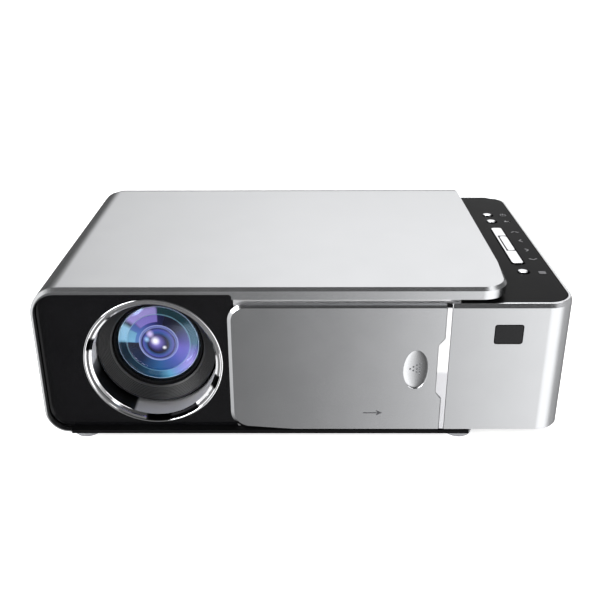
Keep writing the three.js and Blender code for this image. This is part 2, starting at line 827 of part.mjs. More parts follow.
function coverSlider() {
  const [low, high] = slotHeights;
  const plate = block(sliderX - sliderWidth / 2, sliderX + sliderWidth / 2,
    sliderFront(), sliderFront() + sliderPlate, low - sliderOverhang, high + sliderOverhang);
  return cut(plate, slotHeights.map((z) => rodY(sliderX, z, coverScrewRadius + seatGap,
    sliderFront() - overrun, sliderFront() + sliderPlate + overrun)));
}

function coverScrew(z) {
  const head = sliderFront() + sliderPlate + seatGap;
  return join(
    rodY(sliderX, z, coverScrewHeadRadius, head, head + coverScrewHead),
    rodY(sliderX, z, coverScrewRadius, coverBack + seatGap, head + coverScrewHead / 2),
  );
}

function coverMagnet() {
  const start = sliderFront() + sliderPlate + seatGap;
  return rodY(sliderX, sensorZ, magnetRadius, start, start + magnetThickness);
}

// Sensor board that stands on the tray behind the open cover's magnet
function coverSensorBoard() {
  const chipFront = sliderFront() + sliderPlate + seatGap + magnetThickness + runGap;
  const front = chipFront + sensorChip;
  const board = block(sliderX - sensorBoardWidth / 2, sliderX + sensorBoardWidth / 2,
    front, front + boardPlate, floorTop + seatGap, floorTop + sensorBoardHeight);
  const chip = block(sliderX - switchSize / 2, sliderX + switchSize / 2,
    chipFront, front + boardPlate / 2, sensorZ - switchSize / 2, sensorZ + switchSize / 2);
  return join(board, chip);
}

// Focus ring: grooved cone that faces the front, with a skirt round the lens mount
function focusRing() {
  const bore = barrelRadius + runGap;
  const skirt = mountRadius + runGap;
  const run = focusRadius - bore;
  const grooved = [];
  for (let n = 0; n < grooveCount; n += 1) {
    const wide = focusRadius - (run * (n + grooveStartShare)) / grooveCount;
    const narrow = focusRadius - (run * (n + grooveEndShare)) / grooveCount;
    [[wide, 0], [wide, grooveDepth], [narrow, grooveDepth], [narrow, 0]].forEach(([radius, sunk]) => {
      grooved.push([radius, focusFront + (focusWebDepth * (focusRadius - radius)) / run + sunk]);
    });
  }
  const webBack = focusFront + focusWebDepth + focusWeb;
  return turned([
    [focusRadius, focusFront], ...grooved, [bore, focusFront + focusWebDepth], [bore, webBack],
    [skirt, webBack], [skirt, focusFront + focusLength], [focusRadius, focusFront + focusLength],
  ]);
}

// Lens barrel with a stop behind each glass
function lensBarrel() {
  const bore = barrelRadius - barrelWall;
  const frontStop = barrelFront + glassSetback + glassEdge + seatGap;
  const rearStop = barrelFront + barrelLength - rearGlassEdge - rearGlassDome - seatGap;
  const stops = [frontStop, rearStop - barrelStop];
  const [first, second] = stops;
  return turned([
    [barrelRadius, barrelFront], [bore, barrelFront], [bore, first],
    [bore - barrelStop, first], [bore - barrelStop, first + barrelStop],
    [bore, first + barrelStop], [bore, second], [bore - barrelStop, second],
    [bore - barrelStop, second + barrelStop], [bore, second + barrelStop],
    [bore, barrelFront + barrelLength], [barrelRadius, barrelFront + barrelLength],
  ], medium);
}

function frontLens() {
  return lens(barrelRadius - barrelWall - seatGap, glassEdge, glassDome, 0,
    barrelFront + glassSetback);
}

function rearLens() {
  const start = barrelFront + barrelLength - rearGlassEdge - rearGlassDome;
  return lens(barrelRadius - barrelWall - seatGap, rearGlassEdge, rearGlassDome * rearFrontShare,
    rearGlassDome, start);
}

// Fixed tube that the barrel runs in, with a flange against the optical box
function lensMount() {
  const bore = barrelRadius + seatGap;
  return turned([
    [mountRadius, mountFront], [bore, mountFront], [bore, mountBack],
    [mountFlangeRadius, mountBack], [mountFlangeRadius, mountBack - mountFlange],
    [mountRadius, mountBack - mountFlange],
  ], medium);
}

// Optical box with a round front opening and four grooves for its plates
function opticalBox() {
  const x = boxWidth / 2;
  const z = boxHeight / 2;
  const body = block(lensX - x, lensX + x, boxStart, boxEnd, lensZ - z, lensZ + z);
  const room = block(lensX - x + boxWall, lensX + x - boxWall, boxStart + boxFront,
    boxEnd + overrun, lensZ - z + boxWall, lensZ + z - boxWall);
  const hole = rodY(lensX, lensZ, barrelRadius + seatGap, boxStart - overrun,
    boxStart + boxFront + overrun, medium);
  const grooves = boxPlates().map(([place, plate]) => boxPlate(place - seatGap,
    plate + seatGap + seatGap, seatGap));
  return cut(body, room, hole, grooves);
}

function boxPlates() {
  return [
    [frontFresnelPlace, fresnelPlate], [lcdPlace, lcdPlate],
    [rearFresnelPlace, fresnelPlate], [heatGlassPlace, heatGlassPlate],
  ];
}

function boxPlate(place, plate, margin = 0) {
  const x = boxWidth / 2 - boxWall + grooveInWall - seatGap + margin;
  const z = boxHeight / 2 - boxWall + grooveInWall - seatGap + margin;
  return block(lensX - x, lensX + x, boxStart + place, boxStart + place + plate,
    lensZ - z, lensZ + z);
}

// Reflector cone between the LED and the box, with the condenser lens in its mouth
function reflector() {
  const end = reflectorStart + reflectorLength;
  return turned([
    [reflectorMouth, reflectorStart], [reflectorMouth - reflectorWall, reflectorStart],
    [reflectorMouth - reflectorWall, reflectorStart + condenserEdge + seatGap],
    [reflectorThroat, end], [reflectorThroat + reflectorWall, end],
    [reflectorMouth, reflectorStart + condenserEdge + reflectorWall],
  ], medium);
}

function condenserLens() {
  return lens(reflectorMouth - reflectorWall - seatGap, condenserEdge, condenserDome, 0,
    reflectorStart);
}

function ledBoard() {
  const half = ledBoardSize / 2;
  return join(
    block(lensX - half, lensX + half, ledStart, ledStart + ledBoardPlate, lensZ - half, lensZ + half),
    rodY(lensX, lensZ, ledChipRadius, ledStart - ledChipHeight, ledStart + ledBoardPlate / 2),
  );
}

function heatSink() {
  const half = sinkSize / 2;
  const base = block(lensX - half, lensX + half, sinkStart, sinkStart + sinkBase,
    lensZ - half, lensZ + half);
  const pitch = (sinkSize - sinkFin) / (sinkFins - 1);
  const fins = Array.from({ length: sinkFins }, (_, n) => {
    const x = lensX - half + n * pitch;
    return block(x, x + sinkFin, sinkStart + sinkBase / 2, sinkStart + sinkDepth,
      lensZ - half, lensZ + half);
  });
  return join(base, fins);
}

// Fan frame with its hub plate on struts, and the rotor that turns in it
function fanFrame() {
  const half = fanSize / 2;
  const bore = half - fanWall;
  const ring = cut(
    block(lensX - half, lensX + half, fanStart, fanEnd, lensZ - half, lensZ + half),
    rodY(lensX, lensZ, bore, fanStart - overrun, fanEnd + overrun, medium),
  );
  const plate = [fanEnd - fanHubPlate, fanEnd];
  const hub = rodY(lensX, lensZ, fanHubRadius, ...plate, medium);
  const struts = Array.from({ length: fanStruts }, (_, n) => {
    const geometry = new THREE.BoxGeometry(bore + fanWall / 2, fanHubPlate, fanStrut);
    geometry.translate((bore + fanWall / 2) / 2, fanEnd - fanHubPlate / 2, 0);
    geometry.rotateY((2 * Math.PI * n) / fanStruts + Math.PI / fanStruts);
    return solid(geometry.translate(lensX, 0, lensZ));
  });
  const spindle = rodY(lensX, lensZ, fanSpindleRadius, fanEnd - fanDepth / 2, fanEnd);
  return join(ring, hub, struts, spindle);
}

function fanRotor() {
  const end = fanEnd - fanHubPlate - runGap;
  const start = fanStart + runGap;
  const hub = rodY(lensX, lensZ, fanHubRadius, start, end, medium);
  const reach = fanSize / 2 - fanWall - fanTipGap;
  const inner = fanHubRadius * bladeRootShare;
  const blades = Array.from({ length: fanBlades }, (_, n) => {
    const geometry = new THREE.BoxGeometry(reach - inner, fanBlade, fanChord);
    geometry.rotateX(THREE.MathUtils.degToRad(fanPitch));
    geometry.translate((reach + inner) / 2, (start + end) / 2, 0);
    geometry.rotateY((2 * Math.PI * n) / fanBlades);
    return solid(geometry.translate(lensX, 0, lensZ));
  });
  const tips = rodY(lensX, lensZ, reach, start, end, medium);
  const bearing = rodY(lensX, lensZ, fanSpindleRadius + seatGap,
    fanEnd - fanDepth / 2 - seatGap, end + overrun);
  return cut(meet(join(hub, blades), tips), bearing);
}

// Rear panel with the fan grille and one opening for each socket
function rearPanel() {
  const plate = block(left + rearCornerRadius + seatGap, rearEnd - seatGap, rearPanelFront, back,
    under, rearPanelTop - seatGap);
  const count = Math.floor(grilleRadius / grillePitch);
  const grille = Array.from({ length: 2 * count + 1 }, (_, n) => {
    const x = (n - count) * grillePitch;
    const half = Math.sqrt(grilleRadius * grilleRadius - x * x);
    return block(lensX + x - grilleSlot / 2, lensX + x + grilleSlot / 2,
      rearPanelFront - overrun, back + overrun, lensZ - half, lensZ + half);
  });
  const cutouts = [
    socketHole(socketPlaces.hdmi, hdmiWidth, hdmiHeight),
    socketHole(socketPlaces.usb, usbWidth, usbHeight),
    prismY(vgaOutline(seatGap), rearPanelFront - overrun, back + overrun),
    jackHole(socketPlaces.av, jackNoseRadius), jackHole(socketPlaces.dc, dcNoseRadius),
  ];
  const x1 = fanSize / 2 - standoffRadius;
  const z1 = standoffRise;
  const standoffs = [[-x1, -z1], [x1, -z1], [-x1, z1], [x1, z1]].map(([x, z]) =>
    rodY(lensX + x, lensZ + z, standoffRadius, fanEnd + seatGap, back - rearPlate / 2));
  return cut(join(plate, standoffs), grille, cutouts);
}

function socketHole(x, width, height) {
  return block(x - width / 2 - seatGap, x + width / 2 + seatGap,
    rearPanelFront - overrun, back + overrun,
    socketFloor - seatGap, socketFloor + height + seatGap);
}

function jackHole(x, radius) {
  return rodY(x, socketFloor + jackBody / 2, radius + seatGap,
    rearPanelFront - overrun, back + overrun, medium);
}

// Metal socket with a tongue, open at the rear
function plugSocket(x, width, height) {
  const start = back - socketDepth;
  const shell = block(x - width / 2, x + width / 2, start, back - seatGap,
    socketFloor, socketFloor + height);
  const pocket = block(x - width / 2 + socketWall, x + width / 2 - socketWall,
    start + socketWall, back, socketFloor + socketWall, socketFloor + height - socketWall);
  const centre = socketFloor + height / 2;
  const tongue = block(x - width / 2 + socketWall + tongueSide, x + width / 2 - socketWall - tongueSide,
    start, back - socketWall - seatGap, centre - tongueHeight / 2, centre + tongueHeight / 2);
  return join(cut(shell, pocket), tongue);
}

function vgaOutline(margin) {
  const x = socketPlaces.vga;
  const z = socketFloor + vgaHeight / 2;
  const half = vgaShellWidth / 2 + margin;
  const rise = vgaShellHeight / 2 + margin;
  return [
    [x - half + vgaSkew, z - rise, vgaRadius], [x + half - vgaSkew, z - rise, vgaRadius],
    [x + half, z + rise, vgaRadius], [x - half, z + rise, vgaRadius],
  ];
}

function vgaSocket() {
  const x = socketPlaces.vga;
  const front = rearPanelFront - seatGap;
  const body = block(x - vgaWidth / 2, x + vgaWidth / 2, front - jackDepth / 2, front,
    socketFloor, socketFloor + vgaHeight);
  const shell = prismY(vgaOutline(0), front - jackDepth / 4, back - seatGap);
  const pocket = prismY(vgaOutline(-socketWall), back - rearPlate, back + overrun);
  return cut(join(body, shell), pocket);
}

// Round jack: a block on the board with a nose through the rear panel
function jack(x, body, noseRadius, holeRadius, pinRadius) {
  const z = socketFloor + jackBody / 2;
  const front = rearPanelFront - seatGap;
  const base = block(x - body / 2, x + body / 2, front - jackDepth, front,
    socketFloor, socketFloor + jackBody);
  const nose = rodY(x, z, noseRadius, front - jackDepth / 2, back - seatGap, medium);
  const hole = rodY(x, z, holeRadius, front - jackDepth + socketWall, back + overrun, coarse);
  const open = cut(join(base, nose), hole);
  if (!pinRadius) return open;
  return join(open, rodY(x, z, pinRadius, front - jackDepth, back - rearPlate, coarse));
}

// Main board with a heat spreader and a row of capacitors
function boardScrewPlaces() {
  const x0 = mainBoardLeft + boardScrewInset;
  const x1 = mainBoardRight - boardScrewInset;
  const y0 = mainBoardFront + boardScrewInset;
  const y1 = mainBoardBack - socketDepth - boardScrewInset;
  return [[x0, y0], [x1, y0], [x0, y1], [x1, y1]];
}

function mainBoard() {
  const plate = block(mainBoardLeft, mainBoardRight, mainBoardFront, mainBoardBack,
    mainBoardTop - boardPlate, mainBoardTop);
  const chipX = (mainBoardLeft + mainBoardRight) / 2;
  const chipY = (mainBoardFront + mainBoardBack) / 2;
  const chip = block(chipX - chipSize / 2, chipX + chipSize / 2,
    chipY - chipSize / 2, chipY + chipSize / 2,
    mainBoardTop - boardPlate / 2, mainBoardTop + chipHeight);
  const row = Array.from({ length: cans }, (_, n) => rodZ(
    mainBoardLeft + chipSize + n * canPitch, mainBoardFront + chipSize, canRadius,
    mainBoardTop - boardPlate / 2, mainBoardTop + canHeight));
  const holes = boardScrewPlaces().map(([x, y]) => rodZ(x, y, boardScrewRadius + seatGap,
    mainBoardTop - boardPlate - overrun, mainBoardTop + overrun));
  const clearance = lidScrews.map(([x, y]) => rodZ(x, y, lidBossRadius + runGap,
    mainBoardTop - boardPlate - overrun, mainBoardTop + overrun));
  return cut(join(plate, chip, row), holes, clearance);
}

function boardScrew([x, y]) {
  const head = mainBoardTop + seatGap;
  return join(
    rodZ(x, y, boardScrewHeadRadius, head, head + boardScrewHead),
    rodZ(x, y, boardScrewRadius, head - boardScrewLength, head + boardScrewHead / 2),
  );
}

function caseScrew([x, y]) {
  const head = floorTop + screwHead - seatGap;
  return join(
    rodZ(x, y, screwHeadRadius, head - screwHead, head),
    rodZ(x, y, screwRadius, head - screwHead / 2, floorTop + screwLength),
  );
}

// Rubber foot with a flat sole and a peg into the tray
function foot([x, y]) {
  const shape = new THREE.CylinderGeometry(
    footRadius, footRadius - footEdge, footHeight - seatGap, medium);
  shape.rotateX(Math.PI / 2).translate(x, y, (footHeight - seatGap) / 2);
  return join(solid(shape), rodZ(x, y, footPegRadius, footHeight / 2, floorTop));
}

// Black control panel, with the raised platform that carries the lid's right side
function controlPanel() {
  const gap = shellRim + seatGap;
  const radius = shellRadius - gap;
  const plate = prismZ([
    [panelLeft, frontInset + gap], [right - gap, frontInset + gap, radius],
    [right - gap, back - gap, radius], [panelLeft, back - gap],
  ], panelUnder, panelTop);
  const platform = block(panelLeft, lidRight - lipWall - platformInset,
    bezelBack + platformInset, back - rearRadius - platformInset,
    panelUnder, lidUnder - seatGap);
  const roundHoles = Object.values(roundKeys).map((y) =>
    rodZ(keyX, y, keyRadius + seatGap, panelUnder - overrun, panelTop + overrun));
  const navHole = prismZ(navOutline(navFront - seatGap, navRear + seatGap, seatGap),
    panelUnder - overrun, panelTop + overrun);
  const posts = keypadEnds().map((y) =>
    rodZ(keyX, y, postRadius, keypadTop + seatGap, panelTop - panelPlate / 2));
  const bedNotch = block(panelLeft - overrun, shellLeft + bedOverlap + seatGap,
    0, bezelBack + seatGap, panelUnder - overrun, lidUnder);
  return cut(join(plate, platform, posts), roundHoles, navHole, bedNotch);
}

function navOutline(front, rear, margin) {
  const x = navWidth / 2 + margin;
  return [
    [keyX - x, front, navRadius], [keyX + x, front, navRadius],
    [keyX + x, rear, navRadius], [keyX - x, rear, navRadius],
  ];
}

function keypadEnds() {
  return [roundKeys.menu_key - keypadMargin, roundKeys.power_key + keypadMargin];
}

function roundKey(y) {
  return join(
    rodZ(keyX, y, keyRadius, keyFlangeTop - keyFlange / 2, panelTop + keyProud),
    rodZ(keyX, y, keyRadius + keyFlangeOverlap, keyFlangeTop - keyFlange, keyFlangeTop),
  );
}

// Three keys in one long opening: up, a rocker for left and right, and down
function navKey(front, rear, flangeTop, flange) {
  const x = navWidth / 2 + keyFlangeOverlap;
  return join(
    prismZ(navOutline(front, rear, 0), flangeTop - flange / 2, panelTop + keyProud),
    block(keyX - x, keyX + x, front, rear, flangeTop - flange, flangeTop),
  );
}

function keypadBoard() {
  const [front, rear] = keypadEnds();
  const plate = block(keyX - keypadWidth / 2, keyX + keypadWidth / 2,
    front - postRadius, rear + postRadius, keypadTop - boardPlate, keypadTop);
  const rocker = (rockerRear - rockerFront) * rockerSwitchShare;
  const pivot = (rockerFront + rockerRear) / 2;
  const places = [
    ...Object.values(roundKeys), pivot - rocker, pivot + rocker,
    (navFront + rockerFront) / 2, (rockerRear + navRear) / 2,
  ];
  const switches = places.map((y) => block(keyX - switchSize / 2, keyX + switchSize / 2,
    y - switchSize / 2, y + switchSize / 2, keypadTop - boardPlate / 2, switchTop));
  const fulcrum = block(keyX - navWidth / 2, keyX + navWidth / 2,
    pivot - fulcrumWidth / 2, pivot + fulcrumWidth / 2, keypadTop - boardPlate / 2,
    keyFlangeTop - rockerDrop - rockerFlange - seatGap);
  return join(plate, switches, fulcrum);
}

// Speaker that fires through the slots in the right side
function speaker() {
  const end = right - shellWall - seatGap;
  return join(
    rodX(speakerY, speakerZ, speakerRadius, end - speakerRim, end, medium),
    rodX(speakerY, speakerZ, speakerMagnetRadius, end - speakerDepth, end - speakerRim / 2, medium),
  );
}

// The assembly
const projector = new THREE.Group();

function add(name, body, finish) {
  const { vertProperties, triVerts } = body.getMesh();
  const geometry = new THREE.BufferGeometry();
  geometry.setAttribute('position', new THREE.BufferAttribute(vertProperties, 3));
  geometry.setIndex(new THREE.BufferAttribute(triVerts, 1));
  geometry.computeVertexNormals();
  const mesh = new THREE.Mesh(geometry, new THREE.MeshStandardMaterial(finishes[finish]));
  mesh.name = name;
  projector.add(mesh);
}

add('top_cover', topCover(), 'silver');
add('bottom_tray', bottomTray(), 'blackMatte');
add('right_shell', rightShell(), 'silver');
add('rear_panel', rearPanel(), 'blackMatte');
add('front_bezel', frontBezel(), 'blackGloss');
add('slide_bed', slideBed(), 'brightSilver');
add('lens_ring', lensRing(), 'chrome');
add('sliding_cover', slidingCover(), 'coverSilver');
add('cover_slider', coverSlider(), 'blackMatte');
add('cover_screw_lower', coverScrew(slotHeights[0]), 'steel');
add('cover_screw_upper', coverScrew(slotHeights[1]), 'steel');
add('cover_magnet', coverMagnet(), 'magnet');
add('cover_sensor_board', coverSensorBoard(), 'board');
add('control_panel', controlPanel(), 'blackGloss');
Object.entries(roundKeys).forEach(([name, y]) => add(name, roundKey(y), 'chrome'));
add('up_key', navKey(rockerRear + navGap / 2, navRear, keyFlangeTop, keyFlange), 'chrome');
add('side_rocker_key', navKey(rockerFront + navGap / 2, rockerRear - navGap / 2,
  keyFlangeTop - rockerDrop, rockerFlange), 'chrome');
add('down_key', navKey(navFront, rockerFront - navGap / 2, keyFlangeTop, keyFlange), 'chrome');
add('keypad_board', keypadBoard(), 'board');
add('ir_window', irWindow(), 'blackGloss');
add('ir_receiver_board', irReceiverBoard(), 'board');
Object.entries(feet).forEach(([name, place]) => add(name, foot(place), 'rubber'));
add('focus_ring', focusRing(), 'blackMatte');
add('lens_barrel', lensBarrel(), 'blackMatte');
add('front_lens', frontLens(), 'lensGlass');
add('rear_lens', rearLens(), 'clearGlass');
add('lens_mount', lensMount(), 'blackMatte');
add('optical_box', opticalBox(), 'blackMatte');
add('front_fresnel', boxPlate(frontFresnelPlace, fresnelPlate), 'clearGlass');
add('lcd_panel', boxPlate(lcdPlace, lcdPlate), 'filmGlass');
add('rear_fresnel', boxPlate(rearFresnelPlace, fresnelPlate), 'clearGlass');
add('heat_glass', boxPlate(heatGlassPlace, heatGlassPlate), 'clearGlass');
add('condenser_lens', condenserLens(), 'clearGlass');
add('reflector', reflector(), 'chrome');
add('led_board', ledBoard(), 'aluminium');
add('heat_sink', heatSink(), 'aluminium');
add('fan_frame', fanFrame(), 'blackMatte');
add('fan_rotor', fanRotor(), 'blackMatte');
add('main_board', mainBoard(), 'board');
boardScrewPlaces().forEach((place, n) => add(`board_screw_${n + 1}`, boardScrew(place), 'steel'));
add('vga_socket', vgaSocket(), 'steel');
add('hdmi_socket', plugSocket(socketPlaces.hdmi, hdmiWidth, hdmiHeight), 'steel');
add('usb_socket', plugSocket(socketPlaces.usb, usbWidth, usbHeight), 'steel');
add('av_jack', jack(socketPlaces.av, jackBody, jackNoseRadius, avHoleRadius, 0), 'blackMatte');
add('dc_jack', jack(socketPlaces.dc, dcBody, dcNoseRadius, dcHoleRadius, dcPinRadius), 'blackMatte');
add('speaker', speaker(), 'blackMatte');
[...lidScrews, ...shellScrews].forEach((place, n) =>
  add(`case_screw_${n + 1}`, caseScrew(place), 'steel'));

projector.position.y = -caseDepth / 2;

export default projector;
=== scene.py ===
import math

import bmesh
import bpy
from mathutils import Matrix, Vector


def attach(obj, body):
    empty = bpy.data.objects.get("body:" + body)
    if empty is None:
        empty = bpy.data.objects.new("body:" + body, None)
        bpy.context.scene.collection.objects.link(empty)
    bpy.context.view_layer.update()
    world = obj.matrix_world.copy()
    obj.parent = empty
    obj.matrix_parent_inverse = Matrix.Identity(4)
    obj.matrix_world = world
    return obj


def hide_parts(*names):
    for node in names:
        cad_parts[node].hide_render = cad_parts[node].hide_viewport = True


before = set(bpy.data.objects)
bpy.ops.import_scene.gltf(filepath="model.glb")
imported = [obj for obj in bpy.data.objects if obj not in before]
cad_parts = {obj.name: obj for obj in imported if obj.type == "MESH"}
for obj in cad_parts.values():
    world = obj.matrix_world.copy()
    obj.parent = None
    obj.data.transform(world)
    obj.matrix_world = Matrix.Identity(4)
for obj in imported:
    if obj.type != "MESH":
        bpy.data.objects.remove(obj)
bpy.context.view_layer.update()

# Millimetres as in the solids: Y from the front of the case, Z from the table
case_left, case_right = -100, 100
case_depth = 130.5
tray_under, floor_top = 2.8, 4.3
lid_top, lid_under, lip_under = 64.4, 61.9, 59.9
lid_right = 74.9
lip_wall, side_wall, shell_wall = 2, 1.3, 1.6
panel_right, panel_front, panel_rear, panel_top = 98.15, 2.25, 128.65, 58
shell_left, shell_front, shell_bottom = 54.2, 0.4, 4.55
bezel_right, bezel_front = -25.975, 3
cover_left, cover_right = -28, 52.1
cover_bottom, cover_top = 4.7, 57.6
cover_front, cover_back = 0.4, 2.1
notch_depth, notch_low, notch_high, notch_slope = 2.2, 13.6, 13.7, 2.7
dimple_x, dimple_z = 42.05, 30.85
dimple_half, dimple_lift = (4.85, 0.95, 8.3), 0.1
lens_x, lens_z, ring_z = -56.8, 34.05, 32.55
ring_front, ring_radius = 2.5, 26.35
focus_front, focus_radius = 10.4, 22.95
barrel_front, barrel_radius = 14.8, 17.55
glass_radius = 16.3
key_x, key_foot, key_top = 86.6, 55, panel_top + 0.6
ir_x, ir_z = 75.45, 45.7
rear_panel_front, rear_panel_top, rear_panel_right = 128.5, 52.75, 87.75

# Corner radii; the lid's are top left, under left, top rear, rear left, front right and rear right
lid_outside = (11, 9.5, 9.5, 8, 10.2, 14)
lid_inside = (8.5, 8.2, 7, 6.7, 8.2, 12)
shell_radius, panel_radius, nav_radius = 10.5, 8.65, 1.2
cover_low_radius, cover_high_radius, notch_radius = 7.5, 6.5, 0.8

# Small values; PAST is how far a cutter stands out of what it cuts
GAP = 0.25
PAST = 1
TOUCH = 1e-3
FINE_EDGE, PART_EDGE, SOFT_EDGE, KEY_EDGE, GLOSS_EDGE = 0.12, 0.15, 0.2, 0.22, 0.25
FEW_STEPS, ROUND_STEPS, GLASS_STEPS, RING_STEPS = 6, 10, 128, 160
MM = 0.001
to_frame = Matrix.Translation((0, -case_depth / 2 * MM, 0)) @ Matrix.Scale(MM, 4)
AXES = {"X": Vector((1, 0, 0)), "Y": Vector((0, 1, 0)), "Z": Vector((0, 0, 1))}
PLANES = {"x": 0, "y": 1, "z": 2}


# Mesh work, in millimetres
def slab(x0, x1, y0, y1, z0, z1):
    mesh = bmesh.new()
    bmesh.ops.create_cube(mesh, size=1)
    bmesh.ops.scale(mesh, vec=(x1 - x0, y1 - y0, z1 - z0), verts=mesh.verts)
    bmesh.ops.translate(mesh, vec=((x0 + x1) / 2, (y0 + y1) / 2, (z0 + z1) / 2), verts=mesh.verts)
    return mesh


def edges_at(mesh, keep=lambda middle: True, **planes):
    """The edges that lie in every one of the named planes, such as x=3, z=0"""
    return [
        edge for edge in mesh.edges
        if all(abs(vert.co[PLANES[axis]] - value) < TOUCH
               for vert in edge.verts for axis, value in planes.items())
        and keep((edge.verts[0].co + edge.verts[1].co) / 2)
    ]


def uprights(mesh, xs, ys):
    """The upright edges at these places"""
    return [edge for y in ys for x in xs for edge in edges_at(mesh, x=x, y=y)]


def bevelled(mesh, edges, width, steps=1):
    bmesh.ops.bevel(mesh, geom=list(dict.fromkeys(edges)), offset=width, offset_type="OFFSET",
                    segments=steps, profile=0.5, affect="EDGES", material=-1)
    return mesh


def added(name, mesh):
    """A new object in the scene, made of this mesh, which is freed"""
    data = bpy.data.meshes.new(name)
    mesh.to_mesh(data)
    mesh.free()
    made = bpy.data.objects.new(name, data)
    bpy.context.scene.collection.objects.link(made)
    return made


def through(mesh, modifiers, helpers=()):
    """The mesh after these modifiers, each (type, settings); the helpers are removed"""
    body = added("loose", mesh)
    for kind, settings in modifiers:
        modifier = body.modifiers.new(kind.title(), kind)
        for name, value in settings.items():
            setattr(modifier, name, value)
    result = bmesh.new()
    result.from_object(body, bpy.context.evaluated_depsgraph_get())
    for made in (body, *helpers):
        data = made.data
        bpy.data.objects.remove(made)
        bpy.data.meshes.remove(data)
    return result


def rounded(mesh, places):
    """Rounds the edges at each place by its own radius in one go, so that corners blend"""
    widest = max(radius for _, radius in places)
    mesh.edges.index_update()
    radius_of = {edge.index: radius for place, radius in places for edge in edges_at(mesh, **place)}
    weight = mesh.edges.layers.float.new("bevel_weight_edge")
    mesh.edges.ensure_lookup_table()
    for index, radius in radius_of.items():
        mesh.edges[index][weight] = radius / widest
    return through(mesh, [("BEVEL", {
        "width": widest, "segments": ROUND_STEPS, "limit_method": "WEIGHT", "use_clamp_overlap": False,
    })])


def carved(mesh, *cutters):
    """The mesh less each of the cutters"""
    tools = [added("loose", cutter) for cutter in cutters]
    return through(mesh, [
        ("BOOLEAN", {"operation": "DIFFERENCE", "object": tool, "solver": "EXACT"}) for tool in tools
    ], tools)


def softened(mesh, width=SOFT_EDGE):
    """The mesh with a small round on every edge sharper than 35 degrees"""
    return through(mesh, [("BEVEL", {
        "width": width, "segments": 2, "limit_method": "ANGLE", "angle_limit": math.radians(35),
        "miter_outer": "MITER_ARC",
    })])


def joined(*meshes):
    """Several islands as one mesh"""
    whole = bmesh.new()
    for mesh in meshes:
        data = bpy.data.meshes.new("part")
        mesh.to_mesh(data)
        mesh.free()
        whole.from_mesh(data)
        bpy.data.meshes.remove(data)
    return whole


def turned(profile, centre, axis, steps):
    """A closed profile of (radius, place along the axis), spun about Y or Z"""
    along = AXES[axis]
    mesh = bmesh.new()
    verts = [mesh.verts.new(Vector(centre) + AXES["X"] * r + along * a) for r, a in profile]
    for one, other in zip(verts, verts[1:] + verts[:1]):
        if max(profile[verts.index(one)][0], profile[verts.index(other)][0]) > TOUCH:
            mesh.edges.new((one, other))
    bmesh.ops.spin(mesh, geom=mesh.verts[:] + mesh.edges[:], cent=centre, axis=along,
                   angle=2 * math.pi, steps=steps, use_merge=True)
    bmesh.ops.remove_doubles(mesh, verts=mesh.verts, dist=TOUCH / 10)
    bmesh.ops.recalc_face_normals(mesh, faces=mesh.faces)
    return mesh


def prism(points, axis, low, high):
    """A flat outline pushed along Y or Z; points are the other two coordinates, in order"""
    mesh = bmesh.new()
    corners = [(a, low, b) if axis == "Y" else (a, b, low) for a, b in points]
    face = mesh.faces.new([mesh.verts.new(corner) for corner in corners])
    pushed = bmesh.ops.extrude_face_region(mesh, geom=[face])["geom"]
    moved = [item for item in pushed if isinstance(item, bmesh.types.BMVert)]
    bmesh.ops.translate(mesh, vec=AXES[axis] * (high - low), verts=moved)
    bmesh.ops.recalc_face_normals(mesh, faces=mesh.faces)
    return mesh


def rod(centre, axis, radius, low, high, steps=64):
    return turned([(0, low), (radius, low), (radius, high), (0, high)], centre, axis, steps)


def bar(x0, x1, y0, y1, z0, z1, axis, radius):
    """A slab whose four edges along one axis are rounded"""
    mesh = slab(x0, x1, y0, y1, z0, z1)
    along = [edge for edge in mesh.edges
             if abs((edge.verts[0].co - edge.verts[1].co).normalized().dot(AXES[axis])) > 1 - TOUCH]
    return bevelled(mesh, along, radius, FEW_STEPS)


def piece(mesh, name, body, material, replaces=(), sharp=32):
    """Places a finished mesh in the record's frame and gives it its body, finish and shading"""
    mesh.transform(to_frame)
    bmesh.ops.recalc_face_normals(mesh, faces=mesh.faces)
    made = added(name, mesh)
    made.data.shade_smooth()
    made.data.set_sharp_from_angle(angle=math.radians(sharp))
    made.data.materials.append(material)
    made.modifiers.new("Even shading", "WEIGHTED_NORMAL").keep_sharp = True
    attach(made, body)
    if replaces:
        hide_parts(*replaces)


# Materials
def linear(hex_colour):
    """sRGB hex to a linear colour"""
    channels = [int(hex_colour[i:i + 2], 16) / 255 for i in (1, 3, 5)]
    return (*[c / 12.92 if c <= 0.04045 else ((c + 0.055) / 1.055) ** 2.4 for c in channels], 1)


def fed(made, **inputs):
    """Gives a node's inputs their values or links, by name with _ for a space or by number after a _"""
    for name, value in inputs.items():
        socket = made.inputs[int(name[1:]) if name[0] == "_" else name.replace("_", " ")]
        if isinstance(value, bpy.types.NodeSocket):
            made.id_data.links.new(value, socket)
        else:
            socket.default_value = value
    return made


def node(tree, kind, settings=(), **inputs):
    """Adds one node with its settings and inputs"""
    made = tree.nodes.new("ShaderNode" + kind)
    for name, value in dict(settings).items():
        if name == "stops":
            ramp = made.color_ramp
            while len(ramp.elements) < len(value):
                ramp.elements.new(1)
            for stop, (place, colour) in zip(ramp.elements, value):
                stop.position = place
                stop.color = linear(colour) if isinstance(colour, str) else (colour, colour, colour, 1)
        else:
            setattr(made, name, value)
    return fed(made, **inputs)


def finish(name, slot, **sockets):
    """A material with one Principled shader whose plain values are set on its own sockets"""
    made = bpy.data.materials.new(name)
    made.use_nodes = True
    made["slot"] = slot
    shader = fed(made.node_tree.nodes["Principled BSDF"], **sockets)
    return made, made.node_tree, shader


